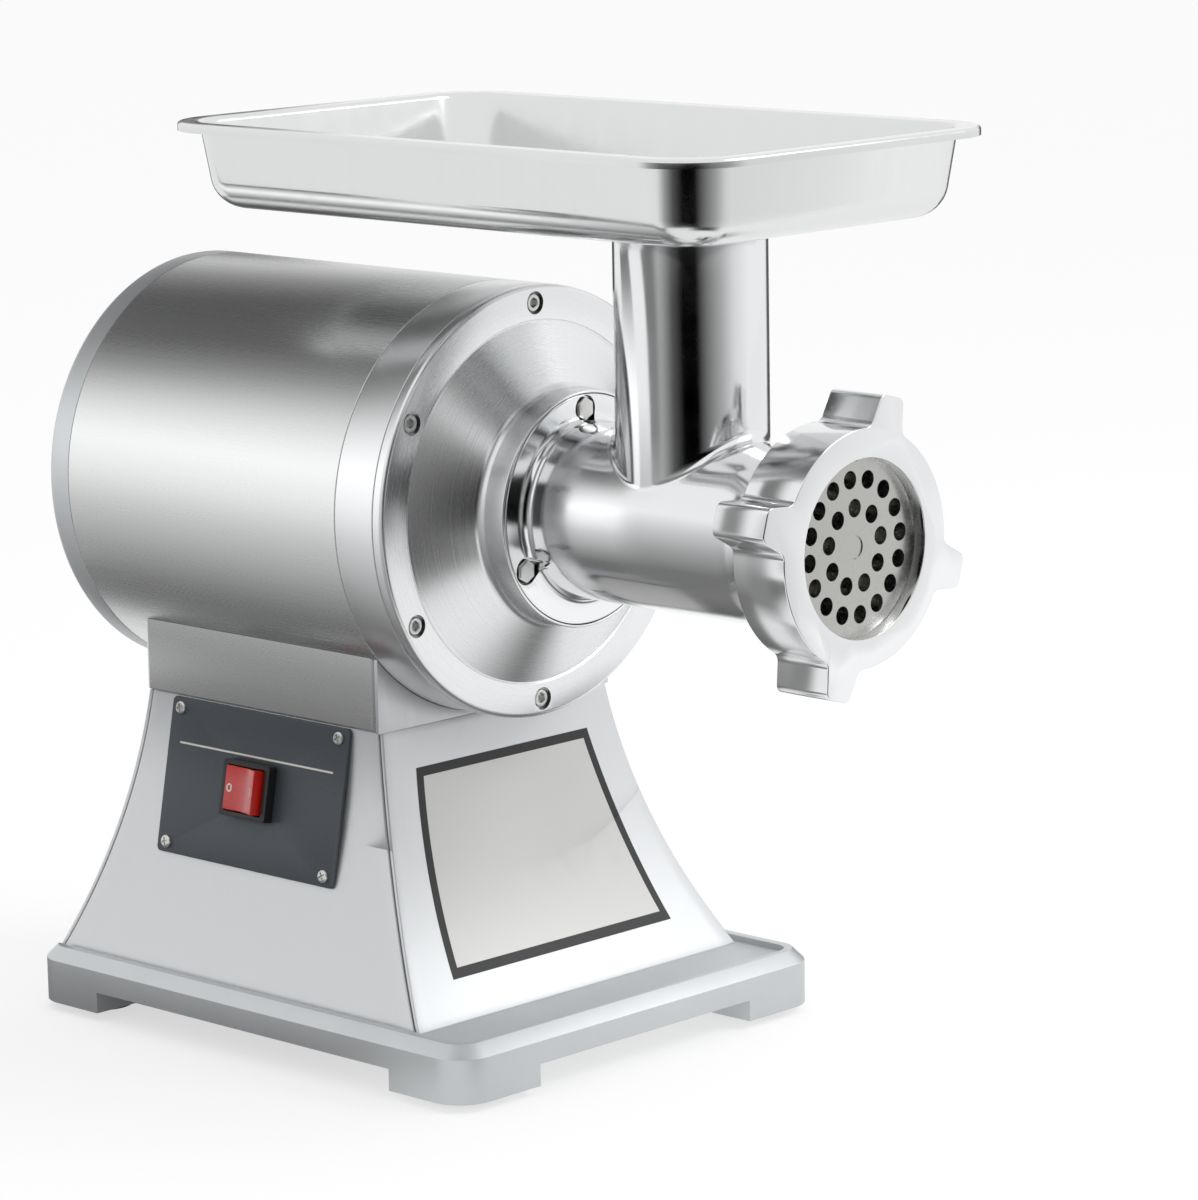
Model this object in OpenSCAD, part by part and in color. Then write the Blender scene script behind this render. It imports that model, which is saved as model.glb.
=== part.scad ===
// Electric meat grinder: a stainless motor drum on a flared pedestal, a two-stage gearbox behind a
// dished front cover, and a bolted grinding head with a worm, knife, plate and screwed ring.
// Millimetres, +Z up. The outlet faces -Y and the switch faces -X. A distance "ahead" is measured
// along the drum's axis, forwards from the flat face of the front cover; behind it is negative.

/* [Drum] */
// Height of the drum's axis above the table
axis_h = 250; // [240:1:290]
// Outside diameter of the stainless drum
drum_d = 197; // [190:1:204]
// Wall of the stainless drum
drum_wall = 1.5; // [1:0.1:2]
// Length of the stainless drum, between the gearbox rim and the rear cap
drum_l = 181; // [174:1:200]
// Depth of the rear cap
cap_l = 14; // [12:0.5:18]
// Wall of the rear cap
cap_wall = 3; // [2:0.25:4]
// Radius of the rounded edges of the cap and the front cover
edge_r = 2; // [1:0.25:3]
// Number of cooling slots in the rear cap
vents = 24; // [12:1:28]
// Width of a cooling slot
vent_w = 3.2; // [2:0.1:4]
// Distance from the axis to the inner end of a cooling slot
vent_in_r = 34; // [30:1:40]
// Distance from the axis to the outer end of a cooling slot
vent_out_r = 72; // [60:1:76]

/* [Gearbox] */
// Length of the gearbox rim that shows between the cover's flange and the drum
rim_l = 24; // [20:1:30]
// Wall of the cast gearbox housing
housing_wall = 6; // [5:0.25:8]
// Depth of the gearbox, from the cover's face to the bearing wall
gearbox_l = 48; // [47:0.5:52]
// Module of the gears
gear_module = 1.5; // [1.4:0.05:1.55]
// Teeth of both pinions
pinion_teeth = 15; // [14:1:16]
// Teeth of both large gears
wheel_teeth = 43; // [41:1:44]
// Face width of the fast gear pair
fast_face = 10; // [8:0.5:11]
// Face width of the slow gear pair
slow_face = 16; // [12:0.5:17]
// Play between meshing teeth, along the pitch circle
backlash = 0.3; // [0.2:0.05:0.5]

/* [Front cover] */
// Thickness of the cover's flange
cover_flange_t = 6; // [5:0.25:8]
// Diameter where the flat face steps down to the dish
dish_d = 166; // [150:1:168]
// Depth of the step between the flat face and the dish
dish_step = 1; // [0.5:0.1:2]
// How far the dish rises to the boss
dish_rise = 15.5; // [13:0.5:18]
// Wall of the dished part of the cover
dish_wall = 6; // [5:0.25:7]
// Diameter of the boss that carries the head
boss_d = 107; // [106:0.5:112]
// How far the boss's front face stands ahead of the cover's face
boss_l = 30; // [28:0.5:34]
// Pitch circle of the cover's socket-head screws
cover_screw_pcd = 181; // [178:0.5:184]
// Number of cover screws
cover_screws_n = 6; // [4:1:8]

/* [Grinding head] */
// Diameter of the head's flange
flange_d = 104; // [103:0.5:104.5]
// Thickness of the head's flange
flange_t = 8; // [7:0.25:8.5]
// Outside diameter of the barrel
barrel_d = 79; // [77:0.5:80]
// Bore of the barrel
barrel_bore = 70; // [68:0.5:71]
// Thickness of the wall behind the worm
back_wall = 10; // [9:0.5:12]
// Outside diameter of the threaded mouth
mouth_d = 93; // [91:0.5:94]
// How far the mouth's front edge stands ahead of the cover's face
mouth_reach = 186; // [182:0.5:190]
// Depth of the counterbore for the knife and the plate
mouth_depth = 19; // [18.5:0.25:22]
// Distance of the hopper neck's axis ahead of the cover's face
neck_ahead = 95; // [88:1:100]
// Outside diameter of the hopper neck
neck_d = 68; // [64:0.5:72]
// Wall of the hopper neck
neck_wall = 4.5; // [4:0.25:6]
// Pitch circle of the three head bolts
bolt_pcd = 90.6; // [90.2:0.1:91]
// Number of head bolts
head_bolts_n = 3; // [3:1:4]
// Radius of the cove between the flange and the barrel
cove_r = 5; // [3:0.5:5.5]

/* [Cutting set] */
// Diameter of the grinding plate
plate_d = 82; // [80:0.5:82.2]
// Thickness of the grinding plate
plate_t = 10; // [9:0.25:11]
// Diameter of the plate's mincing holes
plate_hole_d = 8; // [6:0.25:8.5]
// Thickness of the knife
knife_t = 10; // [8:0.5:10.5]
// Diameter swept by the knife
knife_d = 76; // [70:0.5:78]
// Width across the flats of the worm's square for the knife
knife_square = 12; // [11:0.25:14]
// Diameter of the worm's front journal
journal_d = 10; // [8:0.5:11]
// Core diameter of the worm
core_d = 27; // [25:0.5:29]
// Pitch of the worm's flight
worm_pitch = 36; // [32:1:42]
// Width across the flats of the worm's driving tail
tail_square = 14; // [12:0.5:15]
// Length of the worm's driving tail
tail_l = 18; // [14:0.5:20]

/* [Ring] */
// Outside diameter of the ring
ring_d = 104; // [102:0.5:108]
// Length of the ring
ring_l = 29; // [28.5:0.25:32]
// Thickness of the ring's front lip
lip_t = 6; // [5:0.25:7]
// Diameter of the opening in the ring
outlet_d = 78; // [76:0.5:79]
// Number of lugs on the ring
lugs = 4; // [3:1:6]
// Diameter over the tips of the lugs
lug_tip_d = 132; // [124:0.5:140]
// Width of a lug at its tip
lug_tip_w = 14; // [12:0.5:16]
// Width of a lug at its root
lug_root_w = 20; // [18:0.5:22]
// Angle of the first lug above the +X side
lug_angle = 73.5; // [60:0.5:80]

/* [Tray] */
// Height of the tray's rim above the tray's seat
tray_h = 39.5; // [34:0.5:44]
// Height of the tray's seat, the top of the hopper neck
tray_seat_h = 383; // [378:1:390]
// Length of the tray over its rim
tray_l = 335; // [320:1:345]
// Width of the tray over its rim
tray_w = 203; // [196:1:210]
// Radius of the corners of the tray's rim
tray_corner_r = 24; // [22:1:28]
// Width of the tray's flat rim
tray_rim_w = 11; // [8:0.5:13]
// Taper of the tray's walls, from the rim to the floor on each side
tray_taper = 5; // [3:0.5:8]
// Sheet thickness of the tray
tray_wall = 1.2; // [1:0.1:1.6]
// Radius between the tray's walls and floor
tray_floor_r = 12; // [10:0.5:14]
// Depth of the turned-down lip of the rim
tray_lip = 4; // [3:0.25:5]
// How far the tray reaches ahead of the neck's axis
tray_ahead = 97; // [90:1:104]
// Depth of the collar that locates the tray in the neck
collar_l = 16; // [12:0.5:20]

/* [Pedestal] */
// Width of the saddle that carries the drum
saddle_w = 149; // [144:1:154]
// Length of the saddle
saddle_l = 158; // [150:1:170]
// Thickness of the saddle's web
saddle_web = 5; // [4:0.25:6]
// How far each side of the pedestal is set in below the saddle
side_inset = 2; // [1:0.25:3]
// How far each side flares out on its way down
side_flare = 32; // [28:0.5:34]
// How far the front flares out on its way down
front_flare = 52; // [46:0.5:54]
// How far the rear flares out on its way down
rear_flare = 34; // [30:0.5:36]
// Bow of the hollow curve of the sides
side_bow = 4.6; // [3.5:0.1:5.5]
// Bow of the hollow curve of the front
front_bow = 7.7; // [6:0.1:8.5]
// Bow of the hollow curve of the rear
rear_bow = 4.8; // [3.5:0.1:5.5]
// Sheet thickness of the pedestal's panels
panel_t = 2; // [1.5:0.1:2.5]
// Diameter of the hole for the mains lead
inlet_d = 9; // [8:0.25:11]
// Height of the cable gland above the base
inlet_up = 22; // [18:0.5:28]

/* [Base] */
// Width of the base
base_w = 236; // [230:1:244]
// Length of the base
base_l = 289; // [284:1:300]
// How far the base stands ahead of the cover's face
base_ahead = 62; // [58:0.5:68]
// Height of the underside of the base above the table
base_low = 14; // [12:0.5:18]
// Height of the top of the base above the table
base_top = 30; // [28:0.5:34]
// Radius of the corners of the base
base_corner_r = 17; // [14:0.5:20]
// Width of the bevel round the top of the base
base_bevel = 5.6; // [4:0.2:6]
// Depth of the sunk panel that the pedestal stands in
sink_depth = 2.5; // [2:0.1:3.5]
// Width of the rim in front of the sunk panel
front_rim_w = 9; // [8:0.5:12]
// Groove left round the pedestal in the sunk panel
groove_w = 3.5; // [3:0.25:5]
// Length of a leg along the side
leg_l = 46; // [40:1:52]
// Width of a leg along the front
leg_w = 49; // [42:1:54]
// Diameter of a rubber foot
foot_d = 29; // [24:0.5:32]
// How far a rubber foot stands below its leg
foot_h = 4; // [3:0.25:6]
// Distance of a foot's axis from the two edges of the base
foot_inset = 24; // [20:0.5:27]

/* [Switch] */
// Width of the switch plate
switch_plate_w = 120; // [112:1:126]
// Height of the switch plate
switch_plate_h = 73; // [66:1:76]
// Thickness of the switch plate
switch_plate_t = 1.5; // [1:0.1:2]
// Drop of the switch plate's top edge below the drum
switch_drop = 1; // [0.5:0.25:4]
// Width of the switch's bezel
bezel_w = 31; // [29:0.5:34]
// Height of the switch's bezel
bezel_h = 26; // [25:0.5:30]
// How far the bezel stands out of the plate
bezel_out = 5; // [3:0.25:6]
// Width of the rocker
rocker_w = 24.5; // [23:0.25:25.5]
// Height of the rocker
rocker_h = 21; // [20:0.25:22]
// Throw of the rocker between off and on
rocker_throw = 18; // [14:1:22]

/* [Motor] */
// Diameter of the motor shaft in its bearings
shaft_d = 17; // [15:0.5:17.5]
// Outside diameter of the stator
stator_d = 160; // [150:1:166]
// Bore of the stator
stator_bore = 90; // [84:1:94]
// Length of the stator
stator_l = 70; // [60:1:76]
// Air gap between the stator and the rotor
air_gap = 0.5; // [0.4:0.05:0.8]
// Length of the windings beyond the stator at each end
winding_l = 20; // [16:0.5:23]
// Number of fan blades
fan_blades = 9; // [7:1:11]

/* [Fits] */
// Radial play of a shaft or pin that turns in a bore
running_play = 0.05; // [0.03:0.01:0.08]
// Play between fixed pieces that slip together
seat_play = 0.1; // [0.05:0.01:0.2]
// Play between pieces that slide or lift apart
slip_play = 0.3; // [0.2:0.05:0.4]

/* [Hidden] */
$fn = 96;
over = 1;           // how far a cutter runs past the face that it opens
round_fn = 32;      // sides of the round children of a hull
sheet_fn = 360;     // sides of the large cylinders that bow the pedestal
flank_steps = 5;    // points along a tooth flank
worm_steps = 20;    // slices in one turn of the worm's flight

steel = "#c9cbcd";
satin = "#b4b8bb";
cast_grey = "#9da2a6";
sheet_grey = "#bfc3c6";
black = "#202124";
copper = "#b0683a";
nylon = "#e8e6df";

// How far the plate stands out of the mouth, so that the ring clamps it
plate_proud = 2;

// Screws: thread diameter and length
foot_screw_d = 4.5;
foot_screw_l = 10;
bottom_screw_d = 3;
bottom_screw_l = 6;
saddle_screw_d = 6;
cap_screw_d = 4;
cap_screw_l = 20;
cap_screws_n = 4;
cover_screw_d = 5;
cover_screw_l = 13;
plate_screw_d = 3;
plate_screw_l = 1.4;
screw_play = 0.4;       // a screw's clearance in the piece that it holds
cap_screw_a = 45;       // angle of the first screw or bolt above the +X side
cover_screw_a = 30;
head_bolt_a = 90;
cover_head_sink = 1;    // how far the cover screws' heads are sunk

// Stations along the drum's axis, ahead of the cover's face
drum_front = -cover_flange_t - rim_l;
drum_rear = drum_front - drum_l;
cap_rear = drum_rear - cap_l;
bearing_wall = -gearbox_l;
housing_rear = bearing_wall - housing_wall;
recess_floor = boss_l - flange_t;
barrel_front = mouth_reach - mouth_depth;
ring_front = mouth_reach + plate_proud + lip_t;
ring_rear = ring_front - ring_l;
base_rear = base_ahead - base_l;
// The origin lies midway between the ring's front and the rear of the base
cover_y = (ring_front + base_rear) / 2;

// Rolling bearings and the oil seal
spindle_d = 25;
spindle_bearing_d = 52;
spindle_bearing_w = 15;
small_shaft_d = 12;
small_bearing_d = 28;
small_bearing_w = 8;
motor_bearing_d = 40;
motor_bearing_w = 12;
seal_d = 42;
seal_w = 6.5;
seal_lip = 2;
seat_wall = 5;          // wall round a bearing
seat_step = 4;          // shoulder that stops a bearing
cup_floor = 3;          // floor behind a bearing's seat
end_gap = 0.5;          // gap between the ends of a shaft or seal and what lies beyond

// Grinding head
mouth_bore = plate_d + 2 * slip_play;
neck_bore = neck_d - 2 * neck_wall;
flight_play = 0.5;      // between the worm's flight and the barrel
worm_d = barrel_bore - 2 * flight_play;
tail_gap = 0.1;
worm_hub_d = 34;
flight_gap = 1;         // between the flight and the knife
flight_root_a = 70;     // half the angle that the flight spans at the core and at its edge
flight_tip_a = 32;
worm_rear = boss_l + back_wall - flange_t + seat_play;
washer_t = 2;
flight_rear = worm_rear + washer_t;
stub_front = mouth_reach + plate_proud;
key_d = 4;
key_in = 3;             // how far the key stands into the mouth
key_slot = 4;
mouth_blend = 5;
mouth_shoulder = 2;     // how far the threaded mouth runs on behind the ring
bolt_flats = 10;
bolt_head = 4;
bolt_d = 6;
pocket_d = 12.6;
pocket_depth = bolt_head + 0.5;
bolt_reach = 16;
knife_boss_d = 30;
knife_back = 2;         // how far the blades are set in from the boss's rear face
blades = 4;
blade_root_r = 9;
blade_root_half = 7;    // half a blade's width at its root and at its tip
blade_tip_half = 4.5;
blade_sweep = 34;
blade_steps = 8;
plate_rings = [[17, 9], [29.5, 16]];    // [distance from the axis, number of holes]
ring_edge_r = 1.5;
ring_play = 0.5;        // between the ring and the plate that it holds
lug_in = 2;             // how far the lugs' roots lie inside the ring's surface
lug_back = 1;           // how far the lugs are set back from the ring's front
lug_corner_r = 4;

// Gear train: motor pinion, countershaft wheel, countershaft pinion, output gear
pressure_a = 20;
addendum = 0.9;         // in modules, as the dedendum is
dedendum = 1.25;
gear_distance = gear_module * (pinion_teeth + wheel_teeth) / 2;
wall_gap = 2;           // between the fast pair and the bearing wall
collar_w = 3;           // of the collar between the two pairs
spindle_collar_w = 1;
spindle_core_d = 20;
pinion_seat_d = 12;
small_hub_in = 5;       // from the cover's face back to the countershaft's front bearing
fast_rear = bearing_wall + wall_gap;
slow_rear = fast_rear + fast_face + collar_w;
countershaft_front_bearing = -small_hub_in - small_bearing_w;
motor_hub_rear = bearing_wall - motor_bearing_w;
small_rear = bearing_wall - small_bearing_w;
spindle_hub_rear = -spindle_bearing_w - spindle_collar_w;
cover_screw_reach = 14;
screw_pad_d = 13;
screw_pad_in = 3;       // how far the screw pads' axes lie inside the screws' circle

// Motor
winding_gap = 14;       // between the windings and the castings
clamp_wall = 6;         // of the skirts that hold the stator
skirt_l = winding_l + winding_gap;
stator_front = housing_rear - skirt_l;
stator_rear = stator_front - stator_l;
shield_front = stator_rear - skirt_l;
shield_t = 6;
shield_rear = shield_front - shield_t;
shield_hub_l = 8;       // of the bearing's seat ahead of the shield
rear_bearing_rear = shield_rear - 6;
fan_gap = 1;
fan_front = rear_bearing_rear - fan_gap;
fan_t = 9;
fan_disc_t = 1.6;
fan_blade_t = 2;
fan_hub_wall = 7;
fan_rim = 2;
fan_reach_gap = 8;      // from the fan's rim to the axes of the rear cap's screws
winding_clear = 3;      // from the stator's bore to the windings
winding_cover = 10;     // from the windings to the stator's outside
winding_r = 6;
rotor_d = stator_bore - 2 * air_gap;
end_ring_l = 8;         // of the rotor's cast end rings
end_ring_wall = 11;
end_ring_in = 2;
drum_bore = drum_d - 2 * drum_wall;
cap_screw_r = drum_bore / 2 - 9;
air_holes_n = 6;
air_hole_d = 24;
air_hole_in = 26;       // from the stator's outside to the axes of the shield's air holes

// Pedestal and base
seam_h = axis_h - drum_d / 2;
sink_h = base_top - sink_depth;
saddle_front = drum_front - slip_play;
saddle_rear = saddle_front - saddle_l;
saddle_mid = (saddle_front + saddle_rear) / 2;
ped_top_w = saddle_w - 2 * side_inset;
ped_foot_w = ped_top_w + 2 * side_flare;
ped_foot_front = saddle_front + front_flare;
ped_foot_rear = saddle_rear - rear_flare;
ped_h = seam_h - sink_h;
window_margin = 10;     // from the pedestal's top down to the window in the base
window_w = ped_top_w - 2 * window_margin;
window_l = saddle_l - 2 * window_margin;
rebate_w = 8;           // of the rebate for the bottom cover
cover_plate_t = 2;
cover_sink = 0.2;       // how far the bottom cover is sunk in its rebate
bottom_screw_in = 18;   // from the window's corners along its sides to the cover's screws
sink_corner_r = 8;
foot_taper = 3;
foot_sink_d = 11;
gland_h = base_top + inlet_up;
saddle_gap = panel_t + slip_play + 1;
saddle_screw_x = 40;    // of the saddle's screws from its middle
saddle_screw_y = 50;
wire_hole_d = 20;
base_y = cover_y - (base_ahead + base_rear) / 2;
foot_x = base_w / 2 - foot_inset;
foot_y = base_l / 2 - foot_inset;
inside_floor = base_low + cover_plate_t - cover_sink;

// Cable gland: a threaded body, a locknut inside, and a flange and nose outside
gland_body_d = inlet_d + 6;
gland_body_l = 14;
gland_in = 12;
gland_flange_d = inlet_d + 12;
gland_flange_l = 5.7;
gland_nut = inlet_d + 13;
gland_nut_l = 5;
gland_out = 12.4;

// Tray
tray_y = cover_y - neck_ahead - tray_ahead + tray_l / 2;
tray_hole_y = tray_ahead - tray_l / 2;
tray_rim_r = tray_corner_r + 6;
collar_d = neck_bore - 2 * slip_play;

// Inside the pedestal: the capacitor in its clip, and the terminals
capacitor_d = 44;
capacitor_l = 80;
capacitor_x = 20;
capacitor_h = 24;       // of its axis above the bottom cover
capacitor_ahead = 40;   // of its end from the pedestal's middle
tab_w = 6;
tab_l = 9;
tab_t = 1;
tab_x = 8;
clip_w = 56;
clip_l = 24;
clip_ahead = 12;
terminal_ways = 4;
terminal_pitch = 12;
terminal_w = 18;
terminal_h = 16;
terminal_x = 50;
terminal_hole_d = 5;
terminal_hole_x = 4.5;  // of the rows of holes from the block's sides

// Rest of the switch: the plate lies on the chord of the side's hollow curve
switch_upright = 0.98;  // share of the plate's height that its tilt leaves upright
switch_top_h = seam_h - switch_drop;
switch_low_h = switch_top_h - switch_plate_h * switch_upright;
switch_top_x = bowed_at(ped_top_w / 2, ped_foot_w / 2, side_bow, switch_top_h);
switch_low_x = bowed_at(ped_top_w / 2, ped_foot_w / 2, side_bow, switch_low_h);
switch_tilt = atan((switch_low_x - switch_top_x) / (switch_top_h - switch_low_h));
plate_screw_x = switch_plate_w / 2 - 6.5;
plate_screw_y = switch_plate_h / 2 - 5;
plate_screw_head = 1.8;
plate_corner_r = 2;
bezel_lap = 0.9;        // how far the bezel laps over the plate's window
bezel_corner_r = 1.5;
body_step = 1;          // how far the switch's body is set in from its bezel
body_depth = 20;
well_depth = 7;
well_gap = 0.3;
rocker_pivot = 1;       // height of the rocker's pins above the pedestal's side
pin_d = 3;
pin_out = 0.9;          // how far a pin stands out of the rocker
rocker_set_in = 0.8;    // of the rocker's ends, which clear the well when it tips
rocker_horn = 2.6;      // rise of the rocker's ends above its middle
rocker_heel = 3;        // half the width of the rocker's lower edge

// ---- Helpers -------------------------------------------------------------------------------

// Radius of an arc over a chord, from the arc's rise
function arc_radius(chord, rise) = chord * chord / (8 * rise) + rise / 2;

// Half-width of a bowed side at a height, from its half-width at the top and at the foot
function bowed_at(top, foot, bow, height) =
    let (
        chord = norm([foot - top, ped_h]),
        radius = arc_radius(chord, bow),
        lean = atan((foot - top) / ped_h),
        centre = bow_centre(top, foot, bow, radius, lean)
    )
    centre[0] - sqrt(radius * radius - pow(height - centre[1], 2));

// Centre of the circle that bows a side: out and up from the middle of its chord
function bow_centre(top, foot, bow, radius, lean) = [
    (top + foot) / 2 + (radius - bow) * cos(lean),
    (seam_h + sink_h) / 2 + (radius - bow) * sin(lean)
];

// Points of an arc
function arc(centre, radius, from, to, steps) = [
    for (i = [0:steps])
        let (a = from + (to - from) * i / steps)
        centre + radius * [cos(a), sin(a)]
];

// Faces a child's +Z forwards, from a station ahead of the cover's face
module facing(ahead) translate([0, cover_y - ahead, axis_h]) rotate([90, 0, 0]) children();

// Copies a child round the drum's axis
module ring_of(count, radius, first = 0) {
    for (i = [0:count - 1])
        rotate(first + 360 * i / count) translate([radius, 0, 0]) children();
}

module rod(diameter, rear, front) facing(rear) cylinder(d = diameter, h = front - rear);

module tube(outer, inner, rear, front) {
    difference() {
        rod(outer, rear, front);
        rod(inner, rear - over, front + over);
    }
}

// A disc with its front edge rounded
module rounded_disc(diameter, thickness, radius) {
    rotate_extrude()
        polygon(concat(
            [[0, 0], [diameter / 2, 0]],
            arc([diameter / 2 - radius, thickness - radius], radius, 0, 90, 8),
            [[0, thickness]]
        ));
}

module rounded_rect(w, l, r) {
    square([w - 2 * r, l], center = true);
    square([w, l - 2 * r], center = true);
    for (x = [-1, 1], y = [-1, 1])
        translate([x * (w / 2 - r), y * (l / 2 - r)]) circle(r);
}

// A rolling bearing with a shallow groove between its races on both sides
module bearing(bore, outer, width) {
    groove = (outer - bore) / 4;
    depth = 1;
    rotate_extrude()
        difference() {
            translate([bore / 2 + running_play, 0])
                square([(outer - bore) / 2 - running_play - seat_play, width]);
            for (y = [-over, width - depth])
                translate([bore / 2 + groove / 2, y]) square([groove, depth + over]);
        }
}

module hex_head(flats, height) cylinder(d = flats / cos(30), h = height, $fn = 6);

// A socket-head screw, its head's top at the origin
module socket_screw(d, length) {
    difference() {
        union() {
            translate([0, 0, -d]) cylinder(d = 1.6 * d, h = d);
            translate([0, 0, -d - length]) cylinder(d = d - 2 * seat_play, h = length + over);
        }
        translate([0, 0, -d / 2]) hex_head(0.8 * d, d);
    }
}

// A pan-head screw, standing on the origin
module pan_screw(d, head, length) {
    difference() {
        union() {
            cylinder(d1 = 2 * d, d2 = 1.5 * d, h = head);
            translate([0, 0, -length]) cylinder(d = d - 2 * seat_play, h = length + over);
        }
        for (a = [0, 90])
            rotate(a) translate([-d / 2, -d / 8, head - d / 4]) cube([d, d / 4, d]);
    }
}

// ---- Gears ---------------------------------------------------------------------------------

function roll(radius, base) = let (a = acos(base / radius)) tan(a) - a * PI / 180;

// Involute gear outline, a tooth centred on the +X axis
function gear_outline(teeth) =
    let (
        pitch_r = gear_module * teeth / 2,
        base_r = pitch_r * cos(pressure_a),
        tip_r = pitch_r + addendum * gear_module,
        root_r = pitch_r - dedendum * gear_module,
        low_r = max(base_r, root_r) + 0.01,
        half = 90 / teeth - backlash / 4 / pitch_r * 180 / PI,
        flank = [
            for (i = [0:flank_steps])
                let (r = low_r + (tip_r - low_r) * i / flank_steps)
                [r, half + (roll(pitch_r, base_r) - roll(r, base_r)) * 180 / PI]
        ]
    )
    [
        for (t = [0:teeth - 1], side = [-1, 1], i = [0:flank_steps + 1])
            let (
                k = side < 0 ? i - 1 : flank_steps - i,
                p = k < 0 ? [root_r, flank[0][1]] : flank[k],
                a = 360 * t / teeth + side * p[1]
            )
            p[0] * [cos(a), sin(a)]
    ];

module gear(teeth, width, bore) {
    linear_extrude(width)
        difference() {
            polygon(gear_outline(teeth));
            circle(d = bore);
        }
}

// ---- Base ----------------------------------------------------------------------------------

module base_casting() {
    color(cast_grey)
        difference() {
            translate([0, base_y, 0]) {
                translate([0, 0, base_low])
                    linear_extrude(base_top - base_bevel - base_low)
                        rounded_rect(base_w, base_l, base_corner_r);
                hull()
                    for (x = [-1, 1], y = [-1, 1])
                        translate([
                            x * (base_w / 2 - base_corner_r),
                            y * (base_l / 2 - base_corner_r),
                            base_top - base_bevel
                        ])
                            cylinder(
                                r1 = base_corner_r, r2 = base_corner_r - base_bevel,
                                h = base_bevel, $fn = 2 * round_fn
                            );
                translate([0, 0, foot_h])
                    linear_extrude(base_low - foot_h + over)
                        intersection() {
                            rounded_rect(base_w, base_l, base_corner_r);
                            for (x = [-1, 1], y = [-1, 1])
                                translate([x * (base_w - leg_w) / 2, y * (base_l - leg_l) / 2])
                                    square([leg_w, leg_l], center = true);
                        }
            }
            sunk_panel();
            base_window(0, base_low - over, base_top);
            base_window(rebate_w, base_low - over, base_low + cover_plate_t);
            for (x = [-1, 1], y = [-1, 1])
                translate([x * foot_x, base_y + y * foot_y, foot_h - over])
                    cylinder(d = foot_screw_d + screw_play, h = foot_screw_l + 2 * over);
            bottom_cover_screw_places()
                translate([0, 0, -over])
                    cylinder(d = bottom_screw_d, h = bottom_screw_l + 2 * over);
        }
}

// The sunk panel that the pedestal stands in, with a wider field in front
module sunk_panel() {
    front = base_ahead - front_rim_w;
    rear = ped_foot_rear - groove_w;
    translate([0, cover_y - (front + rear) / 2, sink_h])
        linear_extrude(sink_depth + over)
            rounded_rect(ped_foot_w + 2 * groove_w, front - rear, sink_corner_r);
}

// The window under the pedestal, and the rebate for its cover when grown
module base_window(grow, low, high) {
    translate([-window_w / 2 - grow, cover_y - saddle_front + window_margin - grow, low])
        cube([window_w + 2 * grow, window_l + 2 * grow, high - low]);
}

module rubber_feet() {
    color(black)
        for (x = [-1, 1], y = [-1, 1])
            translate([x * foot_x, base_y + y * foot_y, 0])
                difference() {
                    cylinder(d1 = foot_d - foot_taper, d2 = foot_d, h = foot_h);
                    translate([0, 0, -over])
                        cylinder(d = foot_screw_d + screw_play, h = foot_h + 2 * over);
                    translate([0, 0, -over]) cylinder(d = foot_sink_d, h = foot_h / 2 + over);
                }
}

module foot_screws() {
    color(steel)
        for (x = [-1, 1], y = [-1, 1])
            translate([x * foot_x, base_y + y * foot_y, foot_h / 2])
                rotate([180, 0, 0]) pan_screw(foot_screw_d, foot_h / 2 - end_gap, foot_screw_l);
}

module bottom_cover() {
    color(satin)
        difference() {
            base_window(rebate_w - seat_play, base_low, inside_floor);
            bottom_cover_screw_places()
                translate([0, 0, -over])
                    cylinder(d = bottom_screw_d + screw_play, h = cover_plate_t + 2 * over);
        }
}

module bottom_cover_screw_places() {
    for (x = [-1, 1], y = [-1, 1])
        translate([
            x * (window_w + rebate_w) / 2,
            cover_y - saddle_mid + y * (window_l / 2 - bottom_screw_in),
            base_low
        ])
            children();
}

module bottom_cover_screws() {
    color(steel)
        bottom_cover_screw_places()
            rotate([180, 0, 0])
                pan_screw(bottom_screw_d, bottom_screw_d / 2, bottom_screw_l);
}

// ---- Pedestal ------------------------------------------------------------------------------

// A cylinder that hollows the +X side of a body, its axis along Y. The wall sets it further out
module bow_cutter(top, foot, bow, wall, reach) {
    chord = norm([foot - top, ped_h]);
    radius = arc_radius(chord, bow);
    lean = atan((foot - top) / ped_h);
    centre = bow_centre(top, foot, bow, radius, lean);
    translate([centre[0], reach / 2, centre[1]])
        rotate([90, 0, 0]) cylinder(r = radius + wall, h = reach, $fn = sheet_fn);
}

// The pedestal's body. Its walls are set in by the given amount
module pedestal_body(inset, top, low) {
    reach = 2 * base_l;
    mid = cover_y - saddle_mid;
    difference() {
        translate([-ped_foot_w / 2, cover_y - ped_foot_front, low])
            cube([ped_foot_w, ped_foot_front - ped_foot_rear, top - low]);
        for (side = [0, 180])
            rotate(side)
                bow_cutter(ped_top_w / 2, ped_foot_w / 2, side_bow, inset, reach);
        translate([0, mid, 0])
            rotate(-90)
                bow_cutter(saddle_l / 2, saddle_l / 2 + front_flare, front_bow, inset, reach);
        translate([0, mid, 0])
            rotate(90)
                bow_cutter(saddle_l / 2, saddle_l / 2 + rear_flare, rear_bow, inset, reach);
    }
}

// The wedge of the pedestal that faces one way, cut along the inner faces of the side panels
module side_slab(inset) {
    difference() {
        translate([0, cover_y - ped_foot_front - over, sink_h - over])
            cube([ped_foot_w, ped_foot_front - ped_foot_rear + 2 * over, ped_h + 2 * over]);
        difference() {
            translate([-over, cover_y - ped_foot_front - 2 * over, sink_h - 2 * over])
                cube([
                    ped_foot_w, ped_foot_front - ped_foot_rear + 4 * over, ped_h + 4 * over
                ]);
            bow_cutter(ped_top_w / 2, ped_foot_w / 2, side_bow, inset, 2 * base_l);
        }
    }
}

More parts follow.
